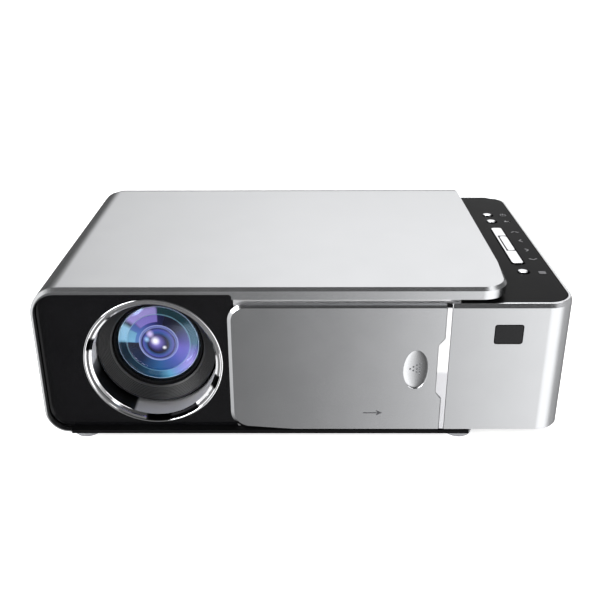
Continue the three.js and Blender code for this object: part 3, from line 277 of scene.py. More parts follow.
def tinted(tree, shader, shade, where=1.0):
    """Multiply the base colour by a shade where the share says so"""
    base = shader.inputs["Base Color"].links[0].from_socket
    mixed = node(tree, "Mix", {"data_type": "RGBA", "blend_type": "MULTIPLY"},
                 _0=where, _6=base, _7=shade)
    fed(shader, Base_Color=mixed.outputs[2])


def round_axis(tree, height):
    """Place beside an axis through the lens, distance from it and turn about it, from 0 at the left by
    way of the bottom"""
    place = node(tree, "TexCoord").outputs["Object"]
    centred = node(tree, "Mapping", Vector=place, Location=(-lens_x * MM, 0, -height * MM),
                   Scale=(1, 0, 1)).outputs[0]
    away = node(tree, "VectorMath", {"operation": "LENGTH"}, _0=centred)
    axes = node(tree, "SeparateXYZ", Vector=centred)
    turn = node(tree, "Math", {"operation": "ARCTAN2"}, _0=axes.outputs["Z"], _1=axes.outputs["X"])
    around = node(tree, "MapRange", Value=turn.outputs[0], _1=-math.pi, _2=math.pi)
    return centred, away.outputs["Value"], around.outputs[0]


def grain(tree, shader, colours, size, depth, rough, cloud=12):
    """Grain of one size in mm: two tints, a little roughness and a fine bump; cloud is a slow drift"""
    low, high = 0.45, 0.95
    place = node(tree, "TexCoord").outputs["Object"]
    fine = node(tree, "TexNoise", Vector=place, Scale=1 / (size * MM), Detail=2)
    slow = node(tree, "TexNoise", Vector=place, Scale=1 / (cloud * MM), Detail=1)
    mixed = node(tree, "Math", {"operation": "MULTIPLY_ADD"},
                 _0=slow.outputs["Fac"], _1=0.4, _2=fine.outputs["Fac"]).outputs[0]
    tint = node(tree, "ValToRGB", {"stops": list(zip((low, high), colours))}, Fac=mixed)
    spread = node(tree, "MapRange", Value=mixed, _1=low, _2=high, _3=rough[0], _4=rough[1])
    bump = node(tree, "Bump", Height=fine.outputs["Fac"], Distance=depth * MM)
    fed(shader, Base_Color=tint.outputs["Color"], Roughness=spread.outputs[0], Normal=bump.outputs[0])
    return bump


def grained(name, slot, colours, size, depth, rough, cloud=12, **sockets):
    """A finish that needs only its plain values and its grain"""
    made, tree, shader = finish(name, slot, **sockets)
    grain(tree, shader, colours, size, depth, rough, cloud)
    return made


def with_painted_reflections(made, stops, reach=None):
    """Adds hard light and dark fans round the ring's axis, out to a reach in mm. They stand for the
    reflections the photograph shows there, at given angles, and stay on the part as it turns"""
    tree = made.node_tree
    _, away, around = round_axis(tree, ring_z)
    fans = node(tree, "ValToRGB", {"stops": stops}, Fac=around)
    where = 1.0
    if reach:
        where = node(tree, "Math", {"operation": "LESS_THAN"}, _0=away, _1=reach * MM).outputs[0]
    tinted(tree, tree.nodes["Principled BSDF"], fans.outputs["Color"], where)
    return made


# Metallic silver paint sprayed on moulded ABS: a soft mirror with bright flakes, which are drawn 0.35 mm
# wide, coarser than real ones, so that they show
silver = ("#c6c7c9", "#cecfd1")
silver_shell = grained("silver_painted_abs", "silver_shell", silver, 0.35, 0.0015, (0.22, 0.27), Metallic=1)
silver_cover = grained("silver_painted_cover", "cover_silver", silver, 0.35, 0.0015, (0.19, 0.23), Metallic=1)

# Bright silver lacquer on ABS: whiter and shinier than the case paint
bright_bed = grained("bright_lacquered_abs", "bright_silver", ("#ececee", "#fafafb"), 0.3, 0.001,
                     (0.08, 0.12), Metallic=0.7, Coat_Weight=0.3, Coat_Roughness=0.05)

# Chrome plate over moulded ABS: a mirror with the faintest ripple
chrome = grained("chrome_plated_abs", "chrome", ("#dcdde0", "#ececee"), 0.6, 0.0006, (0.05, 0.1), 6,
                 Metallic=1)

# Chrome of the lens ring, brighter than the keys' chrome, with hard light and dark fans on its inner cone
# that are painted reflections
light, dark, ring_painted_reflections = "#ffffff", "#0c0c0d", []
for begin, end in ((0.223, 0.361), (0.428, 0.461), (0.935, 0.966)):
    ring_painted_reflections += [(begin - 0.004, light), (begin, dark), (end, dark), (end + 0.004, light)]
ring_chrome = with_painted_reflections(
    grained("chrome_with_painted_reflections", "chrome", ("#e6e6e8", "#f4f4f6"), 0.6, 0.0004, (0.04, 0.08), 6, Metallic=1),
    ring_painted_reflections, ring_radius - 0.82)

# Satin silver of the lens well: milky, with broad soft reflections and broad light and dark fans that are
# painted reflections
satin_silver = with_painted_reflections(
    grained("satin_metal_with_painted_reflections", "chrome", ("#e6e6e8", "#f2f2f4"), 0.3, 0.003, (0.35, 0.45), Metallic=0.25),
    [(0.01, "#f4f4f6"), (0.014, "#727275"), (0.035, "#4c4c4f"), (0.05, "#121213"), (0.184, "#0c0c0d"),
     (0.19, "#c6c6c8"), (0.3, "#c0c0c2"), (0.42, "#d4d4d6"), (0.5, "#f4f4f6")])

# High-gloss black ABS: a near-black body with faint, fairly sharp reflections
gloss_black = grained("piano_black_abs", "black_gloss", ("#08080a", "#0f0f11"), 0.5, 0.0008, (0.12, 0.2),
                      Specular_IOR_Level=0.3)

# Satin black ABS of the key panel: hardly any sheen, with a very fine spark-eroded grain
black_panel = grained("satin_black_panel", "black_gloss", ("#0b0b0c", "#121213"), 0.25, 0.006, (0.34, 0.42),
                      Specular_IOR_Level=0.03)

# Spark-textured black ABS: matt, with a grain the eye just sees
matt_black = grained("textured_black_abs", "black_matte", ("#070708", "#0e0e0f"), 0.45, 0.02, (0.55, 0.7),
                     Specular_IOR_Level=0.08)

# Flocked black of the barrel: as matt, a shade lighter, with half the relief
lens_black = grained("flocked_lens_black", "black_matte", ("#08080a", "#101012"), 0.45, 0.01, (0.55, 0.7),
                     Specular_IOR_Level=0.08)

# Satin black ABS of the focus ring: lighter than the barrel, with a low sheen on each groove
ring_black = grained("satin_ring_black", "black_matte", ("#1c1c1d", "#282829"), 0.35, 0.004, (0.38, 0.48),
                     Specular_IOR_Level=0.4)

# Raised grip dots in the cover's silver, duller and darker, as the photograph shows them
dark_grip = grained("darker_grip_silver", "silver_shell", ("#6f7072", "#8c8d90"), 0.2, 0.004, (0.3, 0.45),
                    Metallic=0.9)

# Grey silicone rubber: dusty matt with a soft sheen
grey_rubber = grained("grey_silicone_rubber", "rubber", ("#77787b", "#909194"), 0.6, 0.01, (0.6, 0.75),
                      Sheen_Weight=0.3)

# Zinc-plated steel: bright metal with a fine even grain
steel = grained("zinc_plated_steel", "steel", ("#9fa1a5", "#c4c6ca"), 0.5, 0.003, (0.24, 0.36), 5, Metallic=1)

# Nickel-plated sintered magnet: darker than chrome, slightly orange-peeled
magnet = grained("nickel_plated_magnet", "magnet", ("#7d8085", "#9a9da2"), 0.4, 0.003, (0.2, 0.3), Metallic=1)

# LCD glass under its polarising film: a dark, slightly uneven blue-grey behind a clear face
lcd = grained("polarised_lcd_glass", "lcd_glass", ("#1a1c24", "#2a2d38"), 0.3, 0.001, (0.12, 0.2), IOR=1.52,
              Coat_Weight=0.5)

# Pad-printed ink, a hair thicker than the paint: even matt with slightly broken tone
dark_ink = grained("dark_grey_ink", "cover_silver", ("#3d3d40", "#4a4a4d"), 0.4, 0.004, (0.5, 0.65))
pale_ink = grained("pale_grey_ink", "black_gloss", ("#8f8f92", "#a5a5a8"), 0.4, 0.004, (0.5, 0.65))


def bright_strip():
    """The bright lacquer on the narrow strip beside the cover, milkier than on the bed and, as in the
    photograph, a little greyer below 29 mm, which is painted shade"""
    made, tree, shader = finish("bright_lacquered_strip", "bright_silver", Metallic=0.5, Coat_Weight=0.3,
                                Coat_Roughness=0.05)
    grain(tree, shader, ("#f4f4f6", "#fcfcfd"), size=0.3, depth=0.001, rough=(0.08, 0.12))
    place = node(tree, "TexCoord").outputs["Object"]
    height = node(tree, "SeparateXYZ", Vector=place).outputs["Z"]
    upper = node(tree, "MapRange", Value=height, _1=29 * MM, _2=30.5 * MM)
    shade = node(tree, "ValToRGB", {"stops": [(0, "#d2d2d4"), (1, "#f6f6f6")]}, Fac=upper.outputs[0])
    tinted(tree, shader, shade.outputs["Color"])
    return made


def extruded_aluminium():
    """Extruded aluminium: pale grey metal with fine drawn streaks along Y, 8 mm long and 0.3 mm wide"""
    made, tree, shader = finish("extruded_aluminium", "aluminium", Metallic=1)
    bump = grain(tree, shader, ("#a9acb1", "#cdd0d4"), size=0.4, depth=0.004, rough=(0.3, 0.45))
    place = node(tree, "TexCoord").outputs["Object"]
    long, wide = 8 * MM, 0.3 * MM
    stretched = node(tree, "Mapping", Vector=place, Scale=(1 / wide, 1 / long, 1 / wide))
    streaks = node(tree, "TexNoise", Vector=stretched.outputs[0], Scale=1, Detail=1)
    drawn = node(tree, "Bump", Height=streaks.outputs["Fac"], Distance=0.006 * MM,
                 Normal=bump.outputs["Normal"])
    fed(shader, Normal=drawn.outputs["Normal"])
    return made


def solder_mask_board():
    """Green solder mask over copper: pale tracks show through a wet-looking green. They stand 3 mm apart,
    coarser than real ones, so that they show"""
    made, tree, shader = finish("green_solder_mask", "circuit_board", Coat_Weight=0.3, Coat_Roughness=0.1)
    bump = grain(tree, shader, ("#17502c", "#1f6337"), size=0.5, depth=0.003, rough=(0.35, 0.5))
    place = node(tree, "TexCoord").outputs["Object"]
    cells = node(tree, "TexVoronoi", {"feature": "DISTANCE_TO_EDGE"}, Vector=place,
                 Scale=1 / (3 * MM), Randomness=0.35)
    tracks = node(tree, "ValToRGB", {"stops": [(0.03, "#3f8f55"), (0.07, "#1b5831")]},
                  Fac=cells.outputs["Distance"])
    raised = node(tree, "Bump", Height=tracks.outputs["Color"], Distance=0.02 * MM,
                  Normal=bump.outputs["Normal"])
    fed(shader, Base_Color=tracks.outputs["Color"], Normal=raised.outputs["Normal"])
    return made


def clear_plate():
    """Clear moulded acrylic: see-through, with concentric Fresnel steps in it. Real steps are too fine to
    show, so these are some 6 mm apart"""
    made, tree, shader = finish("clear_acrylic", "clear_glass", IOR=1.49, Alpha=0.4, Roughness=0.06)
    place = node(tree, "TexCoord").outputs["Object"]
    centred = node(tree, "Mapping", Vector=place, Location=(-lens_x * MM, 0, -lens_z * MM))
    steps = node(tree, "TexWave", {"wave_type": "RINGS", "rings_direction": "Y"},
                 Vector=centred.outputs[0], Scale=1 / (20 * MM)).outputs["Fac"]
    bump = node(tree, "Bump", Height=steps, Distance=0.03 * MM)
    tint = node(tree, "ValToRGB", {"stops": [(0, "#c4d8de"), (1, "#e4eef1")]}, Fac=steps)
    fed(shader, Base_Color=tint.outputs["Color"], Normal=bump.outputs["Normal"])
    return made


def clear_front_coating():
    """Anti-reflection coated glass: almost clear, with a thin violet-blue mirror that is bluer at its rim"""
    made, tree, shader = finish("anti_reflection_coating", "coated_glass", Metallic=1, Roughness=0.03,
                                Alpha=0.05)
    _, away, _ = round_axis(tree, lens_z)
    share = node(tree, "Math", {"operation": "DIVIDE"}, _0=away, _1=glass_radius * MM)
    tint = node(tree, "ValToRGB", {"stops": [(0, "#e6dcff"), (0.6, "#cfd4ff"), (1, "#bfe6ff")]},
                Fac=share.outputs[0])
    fed(shader, Base_Color=tint.outputs["Color"])
    return made


def coated_glass():
    """Multi-coated lens glass: a wet mirror over violet, blue and teal zones, divided by painted highlights:
    thin light rings at the element edges.
    The zones, sectors and bright spots stand for the reflections in the photograph, at given places"""
    made, tree, shader = finish("multi_coated_glass", "coated_glass", IOR=1.45, Roughness=0.08,
                                Specular_IOR_Level=0.3, Coat_Weight=0.5, Coat_Roughness=0.02)
    centred, away, around = round_axis(tree, lens_z)
    share = node(tree, "Math", {"operation": "DIVIDE"}, _0=away, _1=glass_radius * MM).outputs[0]
    mid_start, sector_start, rim_start = 0.47, 0.56, 0.76
    black = "#000000"
    rim_zone = node(tree, "ValToRGB", {"stops": [
        (0, "#0b2334"), (0.14, "#0f2c40"), (0.24, "#245070"), (0.29, "#5aa0c4"), (0.34, "#7c8ad0"),
        (0.4, "#9a8cd8"), (0.46, "#6a62b0"), (0.5, "#1b4c5e"), (0.62, "#0b2830"), (0.745, "#12343a"),
        (0.755, "#9a8fce"), (0.88, "#a99be0"), (0.9, "#14202e"), (0.92, "#9fd0ea"), (0.985, "#8fc6e4"),
        (1, "#0e2c3e")]}, Fac=around)
    mid_zone = node(tree, "ValToRGB", {"stops": [
        (0, "#0a1428"), (0.13, "#0e2244"), (0.25, "#24568c"), (0.36, "#3f4fa4"), (0.46, "#5a50b4"),
        (0.52, "#332e78"), (0.6, "#06081a"), (0.7, "#0a0d26"), (0.745, "#1a1e50"), (0.82, "#39408a"),
        (0.92, "#4f6fb4"), (0.995, "#5580b8"), (1, "#0a1428")]}, Fac=around)
    heart = node(tree, "ValToRGB", {"stops": [
        (0, "#2b2c70"), (0.13, "#24265e"), (0.2, "#14163a"), (0.24, "#0a0c1e"), (0.3, "#2d4f8c"),
        (0.36, "#4a4fa6"), (0.4, "#141a38"), (0.44, "#8f9be0"), (0.46, "#2a2f72")]}, Fac=share)
    painted_rim_highlights = node(tree, "ValToRGB", {"stops": [
        (0.45, black), (0.465, "#a9b6e6"), (0.48, black), (0.745, black), (0.76, "#7fb0c4"),
        (0.775, black), (0.95, black), (0.965, "#b5c8ea"), (0.985, "#06080c")]}, Fac=share)
    sectors = node(tree, "ValToRGB", {"stops": [
        (0.745, black), (0.75, "#7a6cba"), (0.87, "#8578c8"), (0.89, black), (0.915, black),
        (0.925, "#6fa9c9"), (0.993, "#7ab6d6"), (0.998, black)]}, Fac=around)

    # From the heart outwards: each layer joins the colour in its own way from its own share of the radius on
    colour = heart.outputs["Color"]
    for layer, start, blend in ((mid_zone, mid_start, "MIX"), (rim_zone, rim_start, "MIX"),
                                (painted_rim_highlights, None, "SCREEN"), (sectors, sector_start, "LIGHTEN")):
        where = 1.0
        if start:
            where = node(tree, "Math", {"operation": "GREATER_THAN"}, _0=share, _1=start).outputs[0]
        colour = node(tree, "Mix", {"data_type": "RGBA", "blend_type": blend}, _0=where, _6=colour,
                      _7=layer.outputs["Color"]).outputs[2]
    # Painted highlights: five soft spots of light colour, glints laid onto the glass at given places
    for x, z, size, tint in ((-0.6, 1, 4, "#8478cc"), (-1, 1.5, 2.3, "#ffffff"), (-3, 4.2, 2, "#d8c6f2"),
                             (2.4, -1.4, 1.1, "#f6f8ff"), (-4.4, 1.9, 1.6, "#9cc4ec")):
        apart = node(tree, "VectorMath", {"operation": "DISTANCE"}, _0=centred, _1=(x * MM, 0, z * MM))
        spot = node(tree, "MapRange", {"interpolation_type": "SMOOTHSTEP"},
                    Value=apart.outputs["Value"], _1=0, _2=size * MM, _3=1, _4=0)
        colour = node(tree, "Mix", {"data_type": "RGBA"}, _0=spot.outputs[0], _6=colour,
                      _7=linear(tint)).outputs[2]
    fed(shader, Base_Color=colour)
    return made


bright_edge = bright_strip()
aluminium = extruded_aluminium()
board = solder_mask_board()
acrylic = clear_plate()
clear_coated = clear_front_coating()
lens_glass = coated_glass()


def vent_slots(x, y_middle, z_middle, count):
    """A row of upright slots through a side wall"""
    pitch, half_width, half_height, reach = 4, 1, 12, 4
    places = [y_middle + (n - (count - 1) / 2) * pitch for n in range(count)]
    return joined(*[bar(x - reach, x + reach, y - half_width, y + half_width, z_middle - half_height,
                        z_middle + half_height, "X", half_width - TOUCH * 10) for y in places])


# Top cover: one folded silver shell with a chamfer along its front edge
def lid_block(left, right, front, rear, low, high, radii):
    """The lid's outer or inner form with its six rounded edges"""
    block = slab(left, right, front, rear, low, high)
    places = ({"x": left, "z": high}, {"x": left, "z": low}, {"y": rear, "z": high},
              {"x": left, "y": rear}, {"x": right, "y": front}, {"x": right, "y": rear})
    return rounded(block, list(zip(places, radii)))


def lid():
    outer = lid_block(case_left, lid_right, 0, case_depth, tray_under, lid_top, lid_outside)
    front_rim = edges_at(outer, y=0, keep=lambda at: at.z > tray_under + TOUCH)
    corner_reach, chamfer, steep = 11, 1.2, math.radians(69)
    corner_rim = edges_at(outer, z=lid_top, keep=lambda at: at.x > case_right / 2 and at.y < corner_reach)
    bevelled(outer, [edge for edge in front_rim + corner_rim if edge.calc_face_angle(0) > steep], chamfer)
    hollow = lid_block(case_left + side_wall, lid_right - lip_wall, lip_wall, case_depth - side_wall,
                       tray_under + side_wall, lid_under, lid_inside)
    inset, corner = 0.03, 1.2
    left, low, high = case_left + side_wall + inset, tray_under + side_wall + inset, lid_under - inset
    mouth = slab(left, bezel_right, -PAST, lip_wall + PAST, low, high)
    mouth = rounded(mouth, [({"x": left, "z": high}, lid_inside[0]), ({"x": left, "z": low}, lid_inside[1]),
                            ({"x": bezel_right, "z": high}, corner)])
    under_fold, rear_fold, rear_lip = lid_outside[1], lid_outside[3], 3.3
    below = slab(case_left + under_fold, lid_right + PAST, -PAST, case_depth - rear_lip,
                 tray_under - PAST, lip_under)
    behind = slab(case_left + rear_fold, lid_right + PAST, case_depth - rear_lip - 0.05, case_depth + PAST,
                  tray_under - PAST, rear_panel_top + GAP)
    rear_right = slab(shell_left - GAP, lid_right + PAST * 2, case_depth - under_fold, case_depth + PAST * 2,
                      tray_under - PAST * 2, lip_under - TOUCH * 5)
    vents = vent_slots(case_left, case_depth / 2, lens_z, 11)
    return softened(carved(outer, hollow, mouth, below, behind, rear_right, vents))


piece(lid(), "lid_shell", "housing", silver_shell, ["top_cover"], sharp=20)


# Right shell: fixed front panel, right side and rear corner
def side_shell():
    shoulder, shoulder_width = panel_top - 1.75, 0.6
    outer = slab(shell_left - PAST, case_right, shell_front, case_depth, shell_bottom, shoulder)
    bevelled(outer, uprights(outer, [case_right], [shell_front, case_depth]), shell_radius, ROUND_STEPS * 2)
    top = [face for face in outer.faces if face.normal.z > 1 - TOUCH]
    bmesh.ops.inset_region(outer, faces=top, thickness=shoulder_width, depth=panel_top - shoulder,
                           use_even_offset=True)
    beside = slab(shell_left - PAST * 3, shell_left, -PAST, case_depth + PAST, 0, lid_top)
    right, front, rear = case_right - shell_wall, shell_front + shell_wall, case_depth - shell_wall
    room = slab(shell_left - PAST * 2, right, front, rear, shell_bottom - PAST, panel_top + PAST)
    bevelled(room, uprights(room, [right], [front, rear]), shell_radius - shell_wall, ROUND_STEPS)
    ports = slab(shell_left - PAST * 2, rear_panel_right + GAP, case_depth - 5, case_depth + PAST * 2,
                 shell_bottom - PAST * 2, rear_panel_top + GAP * 2)
    half_width, half_height = 5.3, 3.925
    window = bar(ir_x - half_width, ir_x + half_width, shell_front - PAST, shell_front + 5,
                 ir_z - half_height, ir_z + half_height, "Y", 1)
    vents = vent_slots(case_right, 62, lens_z, 6)
    return softened(carved(outer, beside, room, ports, window, vents), FINE_EDGE)


piece(side_shell(), "side_shell", "housing", silver_shell, ["right_shell"], sharp=12)


# Sliding cover: chamfered plate with a notch for the finger and an oval dimple
def cover():
    notch = cover_right - notch_depth
    low, high = cover_bottom + notch_low, cover_top - notch_high
    notch_bottom, notch_top = low + notch_slope, high - notch_slope
    plate = prism([(cover_left, cover_bottom), (cover_right, cover_bottom), (cover_right, low),
                   (notch, notch_bottom), (notch, notch_top), (cover_right, high), (cover_right, cover_top),
                   (cover_left, cover_top)], "Y", cover_front, cover_back)
    plate = rounded(plate, [
        ({"x": cover_left, "z": cover_bottom}, cover_low_radius),
        ({"x": cover_left, "z": cover_top}, cover_high_radius),
        ({"x": notch, "z": notch_bottom}, notch_radius), ({"x": notch, "z": notch_top}, notch_radius)])
    rim = edges_at(plate, y=cover_front, keep=lambda at: at.z > cover_bottom + TOUCH
                   and (at.x < cover_left + cover_low_radius + 0.1 or at.z > cover_top - TOUCH * 2))
    chamfer = 1.3
    bevelled(plate, rim, chamfer)
    for vert in plate.verts:
        if abs(vert.co.y - cover_front - chamfer) < TOUCH:
            along = min(1, (vert.co.x - cover_left) / cover_high_radius)
            vert.co.y = cover_front + 0.7 + 0.6 * along ** 2
    thumb = bmesh.new()
    bmesh.ops.create_uvsphere(thumb, u_segments=64, v_segments=32, radius=1)
    bmesh.ops.scale(thumb, vec=dimple_half, verts=thumb.verts)
    bmesh.ops.translate(thumb, vec=(dimple_x, cover_front - dimple_lift, dimple_z), verts=thumb.verts)
    return softened(carved(plate, thumb), FINE_EDGE)


def cover_back_bosses():
    """Two hollow bosses that reach back through the bed's slots"""
    bore, outside, front, rear = 0.9, 2.2, 1.9, 5.1
    profile = [(bore, front), (outside, front), (outside, rear), (bore, rear)]
    return joined(*[turned(profile, (47.2, 0, z), "Y", 32) for z in (14.4, 48.6)])


def thumb_grip():
    """Ten small dots in a triangle that points the way the cover closes"""
    half_x, half_y, half_z = dimple_half
    column_pitch, row_pitch, flattened = 1.25, 1.5, Matrix.Diagonal((1, 0.8, 1, 1))
    dots = bmesh.new()
    for column in range(4):
        for row in range(column + 1):
            x = column_pitch * (column - 1.6)
            z = row_pitch * (row - column / 2)
            sunk = half_y * math.sqrt(1 - (x / half_x) ** 2 - (z / half_z) ** 2) - dimple_lift
            at = Matrix.Translation((dimple_x + x, cover_front + sunk, dimple_z + z))
            bmesh.ops.create_icosphere(dots, subdivisions=2, radius=0.4, matrix=at @ flattened)
    return dots


def cover_arrow():
    """A plain arrow that points to the open side, where the photograph has one"""
    front, back, z = cover_front - 0.03, cover_front + 0.1, cover_bottom + 7.3
    tail, barb, waist, joint, tip = 22.8, 27.7, 28.35, 28.4, 30.1
    thin, wide = 0.22, 1.25
    shaft = prism([(tail, z - thin), (joint, z - thin), (joint, z + thin), (tail, z + thin)], "Y",
                  front, back)
    head = prism([(barb, z - wide), (tip, z), (barb, z + wide), (waist, z)], "Y", front - 0.005, back)
    return joined(shaft, head)


piece(cover(), "cover_plate", "lens_cover", silver_cover, ["sliding_cover"], sharp=20)
piece(cover_back_bosses(), "cover_bosses", "lens_cover", silver_cover)
piece(thumb_grip(), "thumb_grip", "lens_cover", dark_grip)
piece(cover_arrow(), "cover_arrow", "lens_cover", dark_ink)


# Lens: chrome ring and well, focus ring, barrel, clear front glass and the elements behind it
well_radius, well_end, tube_radius, lip = 23.5, 14, 25.45, 1.8


def ring():
    """Chrome rim: a rolled outer line, a shallow bright cone and a short lip into the well"""
    rim, wall = ring_front, well_radius
    return turned([
        (ring_radius, rim + 0.37), (ring_radius, rim + 0.3), (ring_radius - 0.1, rim + 0.12),
        (ring_radius - 0.32, rim), (ring_radius - 0.6, rim), (ring_radius - 0.76, rim + 0.06),
        (ring_radius - 0.86, rim + 0.18), (wall + 0.1, rim + 1.6), (wall, rim + 1.72),
        (wall, rim + lip), (wall + 0.9, rim + lip), (wall + 0.9, rim + 0.37),
    ], (lens_x, 0, ring_z), "Y", RING_STEPS)


def well():
    """Satin silver tube behind the rim, with room for the focus ring, whose axis is a little higher"""
    start, room = ring_front + lip, 0.4
    tube = turned([(well_radius, start), (well_radius - 0.1, well_end), (tube_radius, well_end),
                   (tube_radius, start)], (lens_x, 0, ring_z), "Y", RING_STEPS)
    return carved(tube, rod((lens_x, 0, lens_z), "Y", focus_radius + room, focus_front - room,
                            well_end + PAST, RING_STEPS))


def grooved_ring():
    """Focus ring: a cone with nine fine grooves and a rolled outer lip"""
    outer, inner, front, web = focus_radius, barrel_radius + 0.4, focus_front, 3.8
    profile = [(outer, front + 0.35), (outer - 0.1, front + 0.12), (outer - 0.35, front)]
    for n in range(9):
        for across, sunk in ((0.15, 0), (0.22, 0.22), (0.36, 0.22), (0.43, 0)):
            share = (n + 0.8) / 10.2 * 0.9 + across / 5
            profile.append((outer - share * (outer - inner), front + web * share + sunk))
    skirt = barrel_radius + 2.55
    profile += [(inner, front + web), (inner, front + web + 1.8), (skirt, front + web + 1.8),
                (skirt, front + 14), (outer, front + 14)]
    return turned(profile, (lens_x, 0, lens_z), "Y", RING_STEPS)


def barrel():
    """Black barrel whose chamfered rim holds the front glass"""
    bore = barrel_radius - 1
    return turned([
        (barrel_radius, barrel_front + 0.3), (barrel_radius - 0.2, barrel_front + 0.05),
        (barrel_radius - 0.35, barrel_front), (barrel_radius - 0.6, barrel_front + 0.05),
        (bore, barrel_front + 0.45), (bore, barrel_front + 30), (barrel_radius, barrel_front + 30),
    ], (lens_x, 0, lens_z), "Y", GLASS_STEPS)


def dome_profile(radius, rise, front, rings=24):
    """Half a shallow dome from its tip to its rim, as (radius, place along the axis)"""
    sphere = (radius ** 2 + rise ** 2) / (2 * rise)
    reach = math.asin(radius / sphere)
    return [(sphere * math.sin(reach * n / rings), front + sphere * (1 - math.cos(reach * n / rings)))
            for n in range(rings + 1)]


def front_glass():
    """Clear domed shell: the elements behind show through it"""
    rise, wall = 3.4, 0.5
    inner = glass_radius - wall
    apex = barrel_front + 0.5 - rise
    rear = apex + rise + 2.5
    outside = dome_profile(glass_radius, rise, apex)
    inside = dome_profile(inner, rise - 0.35, apex + 0.6)
    return turned(outside + [(glass_radius, rear), (inner, rear)] + inside[::-1],
                  (lens_x, 0, lens_z), "Y", GLASS_STEPS)


def inner_elements():
    """Cambered elements in stepped seats just behind the dome, each with a polished edge"""
    deep = barrel_front + 0.6
    profile = dome_profile(6.4, 1.1, -0.5, 12) + [
        (6.5, 0.6), (6.7, 0.42), (6.95, 0.42), (7.15, 0.65), (7.2, 1), (8.5, 0.8), (10.2, 0.8), (11.8, 1),
        (11.9, 0.75), (12.1, 0.65), (12.35, 0.65), (12.5, 0.9), (14.8, 0.9), (14.9, 0.7), (15.05, 0.6),
        (15.25, 0.6), (15.4, 0.75), (15.75, 0.75), (15.75, 5), (0, 5)]
    return turned([(r, deep + y) for r, y in profile], (lens_x, 0, lens_z), "Y", GLASS_STEPS)


piece(ring(), "chrome_lens_ring", "housing", ring_chrome, ["lens_ring"])
piece(well(), "lens_well", "housing", satin_silver)
piece(grooved_ring(), "grooved_focus_ring", "focus", ring_black, ["focus_ring"], sharp=25)
piece(barrel(), "barrel_tube", "lens_carriage", lens_black, ["lens_barrel"])
piece(front_glass(), "clear_front_glass", "lens_carriage", clear_coated, ["front_lens"])
piece(inner_elements(), "lens_elements", "lens_carriage", lens_glass)


# Control panel with its keys and generic signs
nav_front, nav_rear, nav_half = 39, 81.5, 2.3
rocker_front, rocker_rear = 53.1, 70.9
round_keys = {"power": 100.9, "back": 91.7, "menu": 31}
sign_x, sign_width = 94.1, 0.32


def panel():
    """The plate with its key holes, and the platform under the lid as an island of its own"""
    left, under = 56, 56
    plate = slab(left, panel_right, panel_front, panel_rear, under, panel_top)
    bevelled(plate, uprights(plate, [panel_right], [panel_front, panel_rear]), panel_radius, ROUND_STEPS)
    platform = slab(left, 70.5, 7, 119, under + 0.01, lid_under - GAP)
    low, high = 50, 60
    holes = [rod((key_x + 0.35, y - 0.1, 0), "Z", 2.5, low, high, 64) for y in round_keys.values()]
    holes.append(bar(key_x - 2.5, key_x + 3.1, nav_front - GAP, nav_rear + GAP, low, high, "Z", 1.3))
    notch = slab(left - PAST, 57.75, 0, 5.25, low, high + 2)
    return joined(softened(carved(plate, joined(*holes), notch), PART_EDGE), platform)


def round_key(y):
    """Round key with a softly domed cap"""
    top = key_top
    return turned([(0, key_foot), (2, key_foot), (2, top - 0.35), (1.93, top - 0.2), (1.78, top - 0.08),
                   (1.5, top), (1, top + 0.04), (0.5, top + 0.06), (0, top + 0.065)], (key_x, y, 0), "Z", 48)


def nav_cap(left, front, rear, round_ends):
    """One cap of the long key, with rounded corners at the short sides named"""
    right = key_x + nav_half
    cap = slab(left, right, front, rear, key_foot, key_top)
    return softened(bevelled(cap, uprights(cap, [left, right], round_ends), nav_radius, FEW_STEPS), KEY_EDGE)


def up_cap():
    """Up key, with the strip that runs along the rocker's left side"""
    left, right, inner = key_x - nav_half, key_x + nav_half, key_x - 1.35
    low, step = rocker_front - 0.15, rocker_rear + 0.3
    cap = prism([(left, low), (inner, low), (inner, step), (right, step), (right, nav_rear),
                 (left, nav_rear)], "Z", key_foot, key_top)
    return softened(bevelled(cap, uprights(cap, [left, right], [nav_rear]), nav_radius, FEW_STEPS), KEY_EDGE)


piece(panel(), "panel_plate", "housing", black_panel, ["control_panel"])
for sign, key_y in round_keys.items():
    piece(round_key(key_y), f"{sign}_cap", f"{sign}_button", chrome, [f"{sign}_key"])
piece(up_cap(), "up_cap", "up_button", chrome, ["up_key"])
rocker_ends = (rocker_front + 0.35, rocker_rear - 0.35)
piece(nav_cap(key_x - 0.95, *rocker_ends, rocker_ends), "rocker_cap", "side_rocker", chrome,
      ["side_rocker_key"])
piece(nav_cap(key_x - nav_half, nav_front, rocker_front - 0.3, (nav_front,)), "down_cap", "down_button",
      chrome, ["down_key"])


# Signs beside the keys: thin generic strokes of one width
def strokes(*points):
    """A stroke from each point to the next"""
    made = []
    for a, b in zip(points, points[1:]):
        one, other = Vector((*a, 0)), Vector((*b, 0))
        along = (other - one).normalized() * sign_width / 2
        side = along.cross(AXES["Z"])
        corners = [one - along + side, other + along + side, other + along - side, one - along - side]
        made.append(prism([(c.x, c.y) for c in corners], "Z", panel_top - 0.05, panel_top + 0.02))
    return made


def arc(x, y, radius, start, end):
    steps = 14
    angles = [math.radians(start + (end - start) * n / steps) for n in range(steps + 1)]
    return strokes(*[(x + radius * math.cos(angle), y + radius * math.sin(angle)) for angle in angles])


